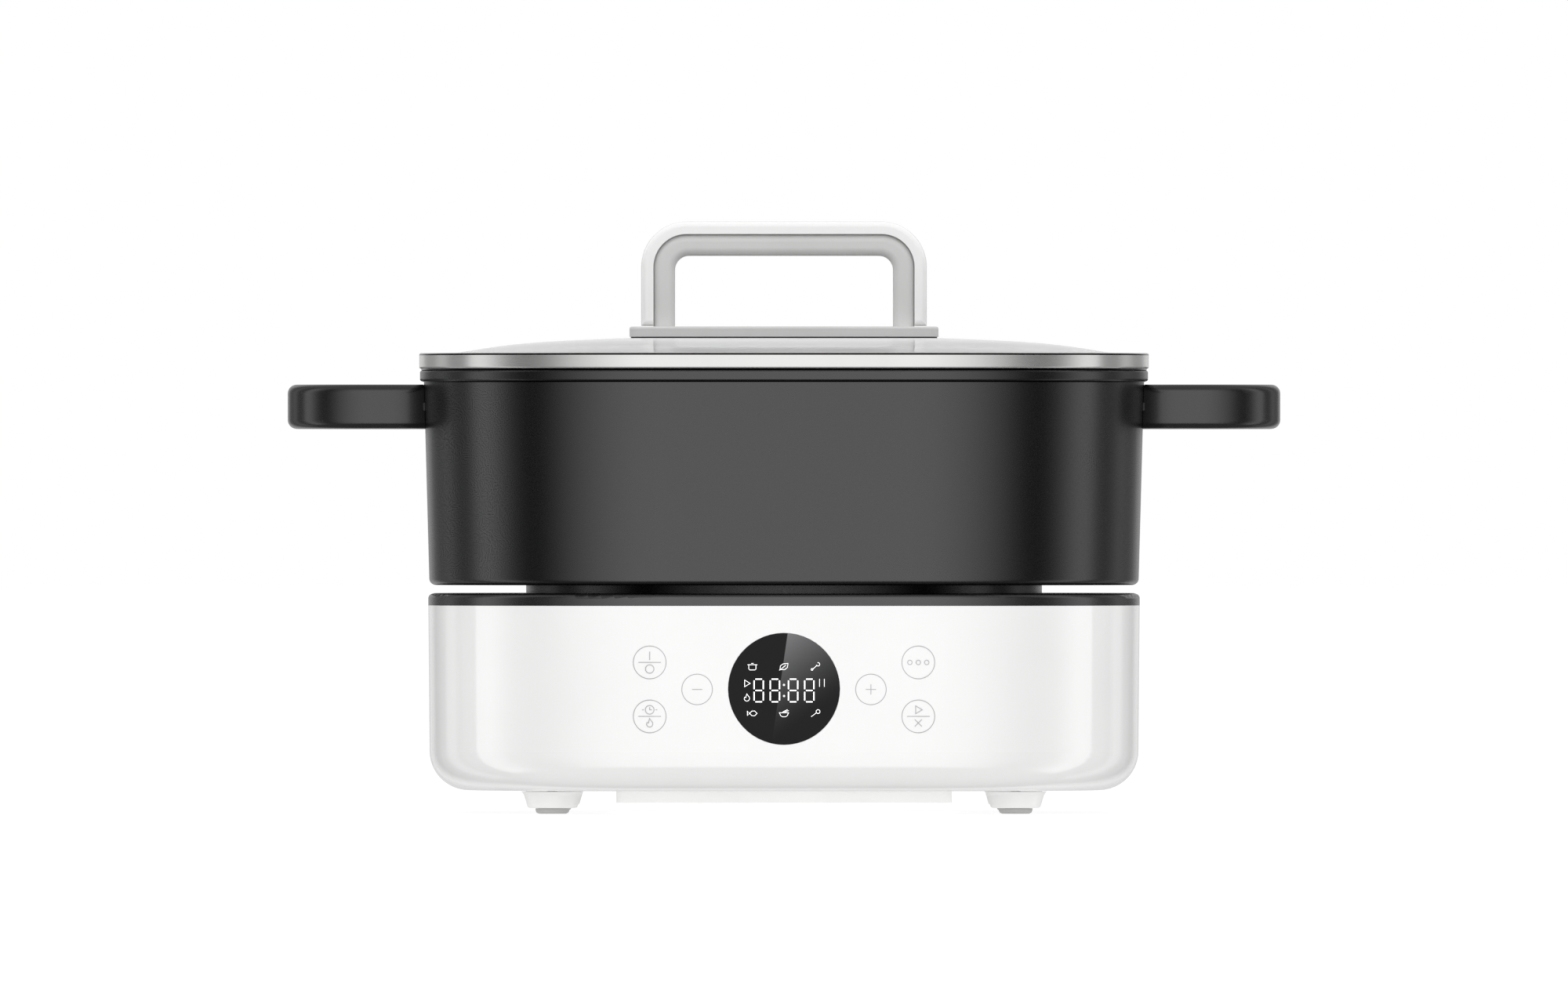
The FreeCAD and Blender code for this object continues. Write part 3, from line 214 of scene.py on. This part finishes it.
def clear_glass(name):
    """Clear tempered glass with a pale haze at glancing angles and faint smudges."""
    material, tree, shader = new_material(name)
    smudge = noise(tree, 18.0, 4.0)
    tint = two_tone(tree, smudge, (0.88, 0.895, 0.89), (0.91, 0.925, 0.92))
    tree.links.new(tint, shader.inputs["Base Color"])
    shader.inputs["Transmission Weight"].default_value = 0.94
    shader.inputs["IOR"].default_value = 1.40
    shader.inputs["Sheen Weight"].default_value = 1.0
    shader.inputs["Sheen Roughness"].default_value = 0.45
    shader.inputs["Sheen Tint"].default_value = (0.72, 0.72, 0.72, 1.0)
    shader.inputs["Specular Tint"].default_value = (0.8, 0.8, 0.8, 1.0)
    tree.links.new(mapped(tree, smudge, 0.01, 0.02, 0.45, 0.75), shader.inputs["Roughness"])
    return material


def lens_painted_reflection(name, middle, reach):
    """Smoked lens with a painted reflection on it: lighter right of a slanting edge, fading towards the lower
    right.
    """
    edge_lean, edge_left, edge_blur = 0.145, 1.65 * MM, 0.1 * MM
    fade_lean, fade_from, fade_to, fade_power = 0.7, -0.85 * reach, 0.95 * reach, 1.8
    material, tree, shader = new_material(name)
    shader.inputs["Specular IOR Level"].default_value = 0.15
    x, z = object_axes(tree)
    slant = math_node(tree, "MULTIPLY_ADD", z, -edge_lean, edge_lean * middle.z + edge_left)
    beyond = math_node(tree, "ADD", x, slant)
    above = math_node(tree, "SUBTRACT", z, middle.z)
    diagonal = math_node(tree, "MULTIPLY_ADD", x, -fade_lean, above)
    side = mapped(tree, beyond, 0.0, 1.0, -edge_blur, edge_blur)
    height = mapped(tree, diagonal, 0.0, 1.0, fade_from, fade_to)
    # Painted reflection: the lighter wedge stands for light caught on the lens.
    painted_reflection = math_node(tree, "MULTIPLY", side, math_node(tree, "POWER", height, fade_power))
    tint = two_tone(tree, painted_reflection, (0.008, 0.008, 0.008), (0.18, 0.18, 0.185), 0.0, 1.0)
    tree.links.new(tint, shader.inputs["Base Color"])
    tree.links.new(mapped(tree, noise(tree, 60.0), 0.05, 0.10), shader.inputs["Roughness"])
    bump(tree, shader, noise(tree, 40.0, 1.0), 0.004 * MM, 0.5)
    return material


def glowing(name, colour, strength):
    """Lit segment behind the lens, slightly uneven."""
    material = surface(name, colour, 0.4)
    tree, shader = shader_of(material)
    shader.inputs["Emission Color"].default_value = (*colour, 1.0)
    uneven = mapped(tree, noise(tree, 900.0), strength * 0.9, strength)
    tree.links.new(uneven, shader.inputs["Emission Strength"])
    return material


def lifted(material, strength):
    """Adds an even white glow, which stands for light thrown back onto the surface."""
    shader = shader_of(material)[1]
    shader.inputs["Emission Color"].default_value = (1.0, 1.0, 1.0, 1.0)
    shader.inputs["Emission Strength"].default_value = strength
    return material


def circuit(name, mask, copper):
    """Solder mask over copper tracks."""
    material = surface(name, mask, 0.35, grain=700.0, depth=0.02 * MM)
    tree, shader = shader_of(material)
    tracks = new_node(tree, "ShaderNodeTexBrick", Scale=90.0, Mortar_Size=0.012)
    tracks.inputs["Color1"].default_value = (*mask, 1.0)
    tracks.inputs["Color2"].default_value = (*[channel * 0.8 for channel in mask], 1.0)
    tracks.inputs["Mortar"].default_value = (*copper, 1.0)
    tree.links.new(object_place(tree), tracks.inputs["Vector"])
    tree.links.new(tracks.outputs["Color"], shader.inputs["Base Color"])
    return material


# --- Materials, one for each of the record's slots --------------------------------
lens_low, lens_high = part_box("display_lens")
lens_middle = (lens_low + lens_high) / 2
lens_reach = (lens_high.z - lens_low.z) / 2

# Heights between which painted shade makes a narrow gap or groove look black: under the pot's flange, between
# pot and lid, and where the glass sits in the lid's rim.
pot_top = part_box("pot_body")[1].z
rim_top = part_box("lid_rim")[1].z
flange_low = pot_top - 4.2 * MM
flange_crease_shade = (flange_low - 0.45 * MM, flange_low + 0.05 * MM)
lid_gap_shade = (pot_top, pot_top + 0.62 * MM)
lip_groove_shade = (rim_top - 0.9 * MM, rim_top - 0.3 * MM)

# Painted light: the handle cover's glow stands for light thrown back onto it; the floor's glow keeps the
# floor evenly pale.
cover_glow, floor_glow = 0.16, 0.72

finishes = {
    "shell_white": surface("shell_white", (0.875, 0.875, 0.87), 0.10, spread=0.01, rough_spread=0.02,
                           grain=350.0, depth=0.001 * MM, coat=1.0, specular=1.0),
    "foot_white": surface("foot_white", (0.93, 0.93, 0.92), 0.38, spread=0.02, grain=1800.0),
    "cover_white": lifted(surface("cover_white", (0.95, 0.95, 0.94), 0.42, spread=0.02, grain=1800.0),
                          cover_glow),
    "pad_grey": surface("pad_grey", (0.45, 0.45, 0.44), 0.75, spread=0.08, grain=2500.0, depth=0.03 * MM),
    "deck_grey": surface("deck_grey", (0.014, 0.014, 0.0145), 0.25, spread=0.06, grain=2600.0,
                         depth=0.006 * MM, specular=1.0, ior=1.58),
    "seal_silicone": surface("seal_silicone", (0.45, 0.46, 0.46), 0.6, grain=1200.0),
    "plate_black": speckled("plate_black", (0.018, 0.018, 0.019), (0.06, 0.06, 0.06), 0.45, 2200.0,
                            0.03 * MM),
    "element_steel": surface("element_steel", (0.34, 0.29, 0.22), 0.38, 1.0, spread=0.25, blotch=60.0),
    "terminal_steel": surface("terminal_steel", (0.60, 0.59, 0.56), 0.30, 1.0, spread=0.1),
    "shield_aluminium": surface("shield_aluminium", (0.78, 0.79, 0.80), 0.28, 1.0, spread=0.06,
                                grain=600.0, stretch=(1.0, 14.0, 1.0)),
    "screw_steel": surface("screw_steel", (0.62, 0.62, 0.63), 0.32, 1.0, spread=0.1, grain=2500.0),
    "fuse_body": surface("fuse_body", (0.72, 0.70, 0.64), 0.25, spread=0.06),
    "sensor_aluminium": surface("sensor_aluminium", (0.70, 0.71, 0.72), 0.30, 1.0, spread=0.05, grain=900.0,
                                stretch=(1.0, 1.0, 20.0)),
    "holder_ceramic": surface("holder_ceramic", (0.78, 0.76, 0.71), 0.65, spread=0.05),
    "spring_steel": surface("spring_steel", (0.55, 0.55, 0.56), 0.25, 1.0, spread=0.08),
    "guide_plastic": surface("guide_plastic", (0.03, 0.03, 0.03), 0.5, spread=0.1),
    "board_green": circuit("board_green", (0.01, 0.10, 0.035), (0.10, 0.30, 0.10)),
    "module_black": surface("module_black", (0.015, 0.015, 0.015), 0.45, spread=0.1),
    "lens_black": lens_painted_reflection("lens_black", lens_middle, lens_reach),
    "pad_foam": surface("pad_foam", (0.10, 0.10, 0.10), 0.9, grain=3500.0, depth=0.15 * MM),
    "relay_blue": surface("relay_blue", (0.02, 0.08, 0.32), 0.25, spread=0.06),
    "capacitor_yellow": surface("capacitor_yellow", (0.72, 0.48, 0.05), 0.3, spread=0.06),
    "terminal_green": surface("terminal_green", (0.03, 0.26, 0.08), 0.4, spread=0.06),
    "inlet_black": surface("inlet_black", (0.022, 0.022, 0.022), 0.42, spread=0.1, grain=2200.0,
                           depth=0.03 * MM),
    "pin_brass": surface("pin_brass", (0.72, 0.67, 0.55), 0.25, 1.0, spread=0.08),
    "lead_red": surface("lead_red", (0.40, 0.03, 0.02), 0.5, grain=3000.0),
    "lead_green": surface("lead_green", (0.08, 0.33, 0.05), 0.5, grain=3000.0),
    "lead_white": surface("lead_white", (0.70, 0.70, 0.66), 0.8, grain=4000.0, depth=0.1 * MM),
    "ribbon_grey": surface("ribbon_grey", (0.40, 0.40, 0.40), 0.55, grain=900.0, stretch=(6.0, 0.2, 1.0)),
    # Painted shade in the crease under the pot's flange.
    "pot_black": painted_shade_bands(speckled("pot_black", (0.002, 0.002, 0.0021), (0.009, 0.009, 0.0093), 0.27,
                                   2600.0, 0.005 * MM, specular=1.0, ior=1.55), [flange_crease_shade]),
    "handle_black": surface("handle_black", (0.012, 0.012, 0.0122), 0.24, spread=0.1, grain=2400.0,
                            depth=0.006 * MM, specular=1.0),
    "glass_clear": clear_glass("glass_clear"),
    # Painted shade in the gap between pot and lid and in the groove under the rim's lip.
    "rim_steel": painted_shade_bands(surface("rim_steel", (0.79, 0.79, 0.78), 0.20, 0.78, spread=0.02, rough_spread=0.02,
                                  grain=500.0, depth=0.0002 * MM, stretch=(0.2, 0.2, 12.0)),
                          [lid_gap_shade, lip_groove_shade]),
    "gasket_dark": surface("gasket_dark", (0.03, 0.03, 0.03), 0.55, grain=1800.0),
    "grip_grey": surface("grip_grey", (0.69, 0.69, 0.685), 0.52, spread=0.03, grain=2600.0,
                         depth=0.03 * MM),
    "handle_white": surface("handle_white", (0.97, 0.97, 0.965), 0.14, spread=0.01, grain=350.0,
                            depth=0.002 * MM, coat=1.0),
}
slot_of = {part["node"]: part["material_slot"] for part in frame["record"]["subparts"]}
for name, piece in nodes.items():
    piece.data.materials.clear()
    piece.data.materials.append(finishes[slot_of[name]])
# The ends of the steel tabs show at the side handles' roots, and are coloured near black there.
tab_ends_black = surface("tab_ends_black", (0.012, 0.012, 0.012), 0.4, spread=0.1, grain=2400.0)
nodes["handle_tabs"].data.materials[0] = tab_ends_black


# --- Front of the shell, which the prints follow ----------------------------------
shell_low, shell_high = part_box("base_shell")
side_lean = 0.6 * MM / (shell_high.z - shell_low.z)  # slope of the sides, which lean outwards
corner_centre = 49.0 * MM  # from the middle plane to the axis of each round corner


def on_shell(x, z, lift):
    """Point lift outside the shell's front, over x and z."""
    half = shell_high.x - side_lean * (shell_high.z - z)
    across = max(0.0, abs(x) - corner_centre)
    radius = half - corner_centre
    forward = corner_centre + math.sqrt(radius ** 2 - across ** 2)
    normal = Vector((math.copysign(across / radius, x), -math.sqrt(1 - (across / radius) ** 2), 0.0))
    return Vector((x, -forward, z)) + normal * lift


def on_lens(x, z, lift):
    """Point lift outside the lens's flat front, over x and z."""
    return Vector((x, lens_low.y - lift, z))


def ribbon_mesh(build, points, width, closed, place, lift, thickness):
    """Adds a thin raised line of the given width along points, laid on a surface by place."""
    count = len(points)
    rails = []
    for index, (x, z) in enumerate(points):
        if closed:
            before, after = points[index - 1], points[(index + 1) % count]
        else:
            before, after = points[max(0, index - 1)], points[min(count - 1, index + 1)]
        along = Vector((after[0] - before[0], after[1] - before[1]))
        along.normalize()
        side = Vector((-along.y, along.x)) * (width / 2)
        if 0 < index < count - 1 or closed:
            arriving = Vector((x - before[0], z - before[1])).normalized()
            side /= max(0.5, abs(arriving.dot(along)))
        left, right = (x + side.x, z + side.y), (x - side.x, z - side.y)
        rails.append([build.verts.new(place(u, w, lift + up)) for (u, w), up in
                      ((left, 0.0), (left, thickness), (right, thickness), (right, 0.0))])
    pairs = list(zip(rails, rails[1:] + rails[:1])) if closed else list(zip(rails, rails[1:]))
    for here, there in pairs:
        for corner in range(4):
            following = (corner + 1) % 4
            build.faces.new((here[corner], here[following], there[following], there[corner]))
    if not closed:
        build.faces.new(rails[0][::-1])
        build.faces.new(rails[-1])


def circle(x, z, radius, start=0.0, end=360.0, steps=48):
    """Points on a circle, or on the arc from start to end in degrees."""
    full = abs(end - start) >= 360.0
    count = steps if full else steps + 1
    step = (end - start) / steps
    angles = [math.radians(start + index * step) for index in range(count)]
    return [(x + radius * math.cos(angle), z + radius * math.sin(angle)) for angle in angles]


print_lift, print_thickness = 0.01, 0.03  # millimetres


def print_lines(name, strokes, width, place, material):
    """One piece made of many thin printed lines, in millimetres. Each stroke is (points, closed)."""
    build = bmesh.new()
    for points, closed in strokes:
        ribbon_mesh(build, points, width, closed, place, print_lift, print_thickness)
    bmesh.ops.recalc_face_normals(build, faces=build.faces)
    mesh = bpy.data.meshes.new(name)
    build.to_mesh(mesh)
    build.free()
    piece = bpy.data.objects.new(name, mesh)
    scene.collection.objects.link(piece)
    mesh.materials.append(material)
    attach(piece, "base")


def shifted(strokes, x, z, scale=1.0):
    """Strokes scaled about their own middle and moved to x and z."""
    return [([(x + scale * u, z + scale * w) for u, w in points], closed) for points, closed in strokes]


def line(*points):
    return (list(points), False)


def loop(*points):
    return (list(points), True)


# --- Pictograms, drawn about their own middle, in millimetres ---------------------
on_sign = [line((0, -1.6), (0, 1.6))]
off_sign = [(circle(0, 0, 1.6), True)]
clock_sign = [(circle(0, 0, 1.65), True), line((0, 1.0), (0, 0), (0.85, 0)),
              line((-2.9, 0), (-2.2, 0)), line((2.2, 0), (2.9, 0))]
flame_sign = [loop((0, 1.8), (0.5, 1.0), (1.1, 0.3), (1.2, -0.5), (0.8, -1.2), (0, -1.5), (-0.8, -1.2),
                   (-1.2, -0.5), (-1.0, 0.3), (-0.5, 0.1), (-0.3, 0.9))]
menu_sign = [(circle(x, 0, 0.85), True) for x in (-3.2, 0.0, 3.2)]
play_sign = [loop((-1.0, 1.5), (1.5, 0), (-1.0, -1.5))]
cross_sign = [line((-1.35, 1.35), (1.35, -1.35)), line((-1.35, -1.35), (1.35, 1.35))]
minus_sign = [line((-1.95, 0), (1.95, 0))]
plus_sign = [line((-1.95, 0), (1.95, 0)), line((0, 1.95), (0, 0.15)), line((0, -0.15), (0, -1.95))]
pot_sign = [line((-1.6, 0.9), (-1.6, -1.0), (-1.2, -1.4), (1.2, -1.4), (1.6, -1.0), (1.6, 0.9)),
            line((-2.2, 0.9), (2.2, 0.9)), line((-0.5, 1.5), (0.5, 1.5))]
leaf_sign = [loop((-1.8, -1.2), (-1.6, 0.4), (-0.4, 1.3), (1.8, 1.5), (1.5, -0.3), (0.3, -1.3)),
             line((-2.1, -1.6), (0.8, 0.7))]
bone_sign = [line((-1.2, -1.0), (0.6, 0.6)), (circle(1.1, 1.1, 0.75, -160, 110), False),
             (circle(-1.6, -1.2, 0.4), True)]
fish_sign = [loop((-1.2, 0), (-0.3, 1.0), (1.0, 1.1), (2.1, 0), (1.0, -1.1), (-0.3, -1.0)),
             line((-1.2, 0), (-2.2, 1.0), (-2.2, -1.0), (-1.2, 0))]
bowl_sign = [line((-2.0, 0.3), (-1.5, -1.0), (-0.7, -1.5), (0.7, -1.5), (1.5, -1.0), (2.0, 0.3)),
             line((-2.2, 0.3), (2.2, 0.3)), line((-0.6, 0.6), (1.6, 1.7)), line((0.2, 0.6), (2.1, 1.3))]
spoon_sign = [line((-2.0, -1.5), (0.4, 0.3)), (circle(1.1, 0.8, 0.85), True)]

# --- Touch keys, in millimetres ---------------------------------------------------
key_radius = 6.22
small_key_radius = 5.8
key_x, key_rise = 51.0, 10.25
small_key_x = 33.0
keys_z = -0.2
sign_rise = 2.5
divider_half = 4.3
key_layout = [
    (-key_x, keys_z + key_rise, key_radius, [(on_sign, sign_rise), (off_sign, -sign_rise)], True),
    (-key_x, keys_z - key_rise, key_radius, [(clock_sign, sign_rise), (flame_sign, -2.6)], True),
    (key_x, keys_z + key_rise, key_radius, [(menu_sign, 0.0)], False),
    (key_x, keys_z - key_rise, key_radius, [(play_sign, sign_rise), (cross_sign, -sign_rise)], True),
    (-small_key_x, keys_z, small_key_radius, [(minus_sign, 0.0)], False),
    (small_key_x, keys_z, small_key_radius, [(plus_sign, 0.0)], False),
]
rings, signs = [], []
for x, z, radius, drawings, divided in key_layout:
    rings.append((circle(x, z, radius, steps=96), True))
    if divided:
        signs.append(line((x - divider_half, z), (x, z), (x + divider_half, z)))
    for drawing, rise in drawings:
        signs += shifted(drawing, x, z + rise)


def shell_mm(x, z, lift):
    """Place on the shell, in millimetres from the height of the lens's middle."""
    return on_shell(x * MM, lens_middle.z + z * MM, lift * MM)


ring_ink = surface("ring_ink", (0.40, 0.40, 0.40), 0.5, spread=0.1, grain=3000.0)
sign_ink = surface("sign_ink", (0.46, 0.46, 0.46), 0.5, spread=0.1, grain=3000.0)
ring_width, sign_width = 0.26, 0.30
print_lines("key_rings", rings, ring_width, shell_mm, ring_ink)
print_lines("key_signs", signs, sign_width, shell_mm, sign_ink)


# --- Display, in millimetres ------------------------------------------------------
def lens_mm(x, z, lift):
    """Place on the lens, in millimetres from its middle."""
    return on_lens(x * MM, lens_middle.z + z * MM, lift * MM)


digit_half_width, digit_half_height, segment_gap = 1.75, 4.3, 0.5
digit_z = -0.6
digit_places = (-9.6, -3.45, 3.45, 9.6)
colon_rise, colon_radius = 2.1, 0.12
bar_half_gap, bar_half_height = 0.9, 1.5
icon_scale = 0.85
top_icons_z, low_icons_z, icon_step = 8.4, -9.3, 12.0
left_icons_x, play_z, flame_z = -14.1, 2.1, -3.4
bars_x, bars_z = 14.4, 2.3
segment_width, icon_width = 0.46, 0.21


def digit(x, z):
    """All seven segments of one digit."""
    strokes = []
    for level in (-digit_half_height, 0.0, digit_half_height):
        strokes.append(line((x - digit_half_width + segment_gap, z + level),
                            (x + digit_half_width - segment_gap, z + level)))
    for side in (-digit_half_width, digit_half_width):
        for low in (-digit_half_height, 0.0):
            strokes.append(line((x + side, z + low + segment_gap),
                                (x + side, z + low + digit_half_height - segment_gap)))
    return strokes


def bars(x, z):
    """Two upright strokes, as on a pause key."""
    return [line((x + side, z - bar_half_height), (x + side, z + bar_half_height))
            for side in (-bar_half_gap, bar_half_gap)]


segments = []
for x in digit_places:
    segments += digit(x, digit_z)
for rise in (-colon_rise, colon_rise):
    segments.append((circle(0, digit_z + rise, colon_radius, steps=12), True))
icons = shifted(play_sign, left_icons_x, play_z, icon_scale)
icons += shifted(flame_sign, left_icons_x, flame_z, icon_scale)
icons += bars(bars_x, bars_z)
for column, top_sign, low_sign in ((-1, pot_sign, fish_sign), (0, leaf_sign, bowl_sign),
                                   (1, bone_sign, spoon_sign)):
    icons += shifted(top_sign, column * icon_step, top_icons_z, icon_scale)
    icons += shifted(low_sign, column * icon_step, low_icons_z, icon_scale)
segment_light = glowing("segment_light", (1.0, 1.0, 1.0), 1.0)
icon_light = glowing("icon_light", (0.92, 0.92, 0.92), 0.8)
print_lines("display_digits", segments, segment_width, lens_mm, segment_light)
print_lines("display_icons", icons, icon_width, lens_mm, icon_light)

# --- Sensor spring, copied with a mesh of its own (the real spring shortens as the sensor goes down) ---
sensor_coil = bpy.data.objects.new("sensor_coil", nodes["sensor_spring"].data.copy())
sensor_coil.matrix_world = nodes["sensor_spring"].matrix_world
scene.collection.objects.link(sensor_coil)
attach(sensor_coil, "base")
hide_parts("sensor_spring")
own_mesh(sensor_coil)

# --- Floor ------------------------------------------------------------------------
floor_mesh = bpy.data.meshes.new("floor")
floor_half = 40.0
floor_mesh.from_pydata([(-floor_half, -floor_half, 0), (floor_half, -floor_half, 0),
                        (floor_half, floor_half, 0), (-floor_half, floor_half, 0)], [], [(0, 1, 2, 3)])
floor = bpy.data.objects.new("floor", floor_mesh)
floor.location.z = cad_box[0].z - 0.1 * MM
scene.collection.objects.link(floor)
floor_paint = surface("floor_paint", (0.30, 0.30, 0.30), 0.8, spread=0.005, grain=300.0)
floor_mesh.materials.append(lifted(floor_paint, floor_glow))
floor.visible_glossy = False

# --- Studio light, all round the object -------------------------------------------
world = bpy.data.worlds.new("studio")
scene.world = world
world.use_nodes = True
sky = world.node_tree
sky.nodes.clear()
direction = sky.nodes.new("ShaderNodeTexCoord")
parts = sky.nodes.new("ShaderNodeSeparateXYZ")
sky.links.new(direction.outputs["Generated"], parts.inputs["Vector"])
sideways = math_node(sky, "ABSOLUTE", parts.outputs["X"])
frontward = math_node(sky, "MULTIPLY", parts.outputs["Y"], -1.0)
bearing = math_node(sky, "DIVIDE", math_node(sky, "ARCTAN2", sideways, frontward), math.pi)
# Soft boxes and dark flags that reflections show: bearing in degrees (0 is the front, 90 either side, 180
# the rear) and brightness.
panels = [(0, 1.08), (14, 0.98), (26, 0.82), (38, 0.58), (45, 0.41), (51, 0.22), (58, 0.06), (64, 0.0),
          (70, 0.02), (76, 0.12), (82, 0.36), (88, 0.66), (93, 0.86), (103.5, 0.86), (105, 0.10), (120, 0.12),
          (126, 0.42), (132, 0.42), (138, 0.18), (150, 0.22), (158, 0.6), (164, 0.74), (172, 0.67)]
ramp = sky.nodes.new("ShaderNodeValToRGB")
stops = ramp.color_ramp.elements
stops.remove(stops[-1])
for index, (degrees, level) in enumerate(panels):
    stop = stops[0] if index == 0 else stops.new(degrees / 180)
    stop.color = (level, level, level, 1.0)
sky.links.new(bearing, ramp.inputs["Fac"])


def sky_blend(colour, start, end, level):
    """Turns a sky into an even level while the direction's Z goes from start to end."""
    share = new_node(sky, "ShaderNodeMapRange", From_Min=start, From_Max=end)
    share.interpolation_type = "SMOOTHSTEP"
    sky.links.new(parts.outputs["Z"], share.inputs["Value"])
    return mixed(sky, share.outputs["Result"], colour, (level, level, level))


def sky_level(level):
    """Even grey."""
    grey = sky.nodes.new("ShaderNodeRGB")
    grey.outputs["Color"].default_value = (level, level, level, 1.0)
    return grey.outputs["Color"]


def sky_light(colour):
    light = sky.nodes.new("ShaderNodeBackground")
    sky.links.new(colour, light.inputs["Color"])
    return light.outputs["Background"]


def sky_choice(ray, otherwise, chosen):
    """Chosen for one kind of ray, and otherwise for the rest."""
    choice = sky.nodes.new("ShaderNodeMixShader")
    sky.links.new(rays.outputs[ray], choice.inputs["Fac"])
    sky.links.new(otherwise, choice.inputs[1])
    sky.links.new(chosen, choice.inputs[2])
    return choice.outputs["Shader"]


rays = sky.nodes.new("ShaderNodeLightPath")
paper_level, side_fill = 1.0, 1.14
# Each is the direction's Z where it starts, the Z where it is full, and the brightness.
top_fill = (0.1, 0.9, 1.20)
overhead, underfoot = (0.64, 0.80, 0.35), (-0.66, -0.76, 0.1)
reflected = sky_blend(sky_blend(ramp.outputs["Color"], *overhead), *underfoot)
fill = sky_blend(sky_level(side_fill), *top_fill)
studio = sky_choice("Is Diffuse Ray", sky_light(reflected), sky_light(fill))
studio = sky_choice("Is Camera Ray", studio, sky_light(sky_level(paper_level)))
output = sky.nodes.new("ShaderNodeOutputWorld")
sky.links.new(studio, output.inputs["Surface"])

# --- Camera: level with the object, from far away ---------------------------------
frame_width = 0.6  # how much the picture spans at the object's middle
camera_height = 0.1221
focal_length = 1050.0
camera_data = bpy.data.cameras.new("camera")
camera_data.lens = focal_length
camera_data.sensor_width = 36.0
camera_data.clip_end = 100.0
camera = bpy.data.objects.new("camera", camera_data)
camera.location = (0.0, -frame_width * focal_length / camera_data.sensor_width, camera_height)
camera.rotation_euler = (math.radians(90), 0.0, 0.0)
scene.collection.objects.link(camera)
scene.camera = camera
scene.view_settings.view_transform = "Standard"
scene.view_settings.look = "None"
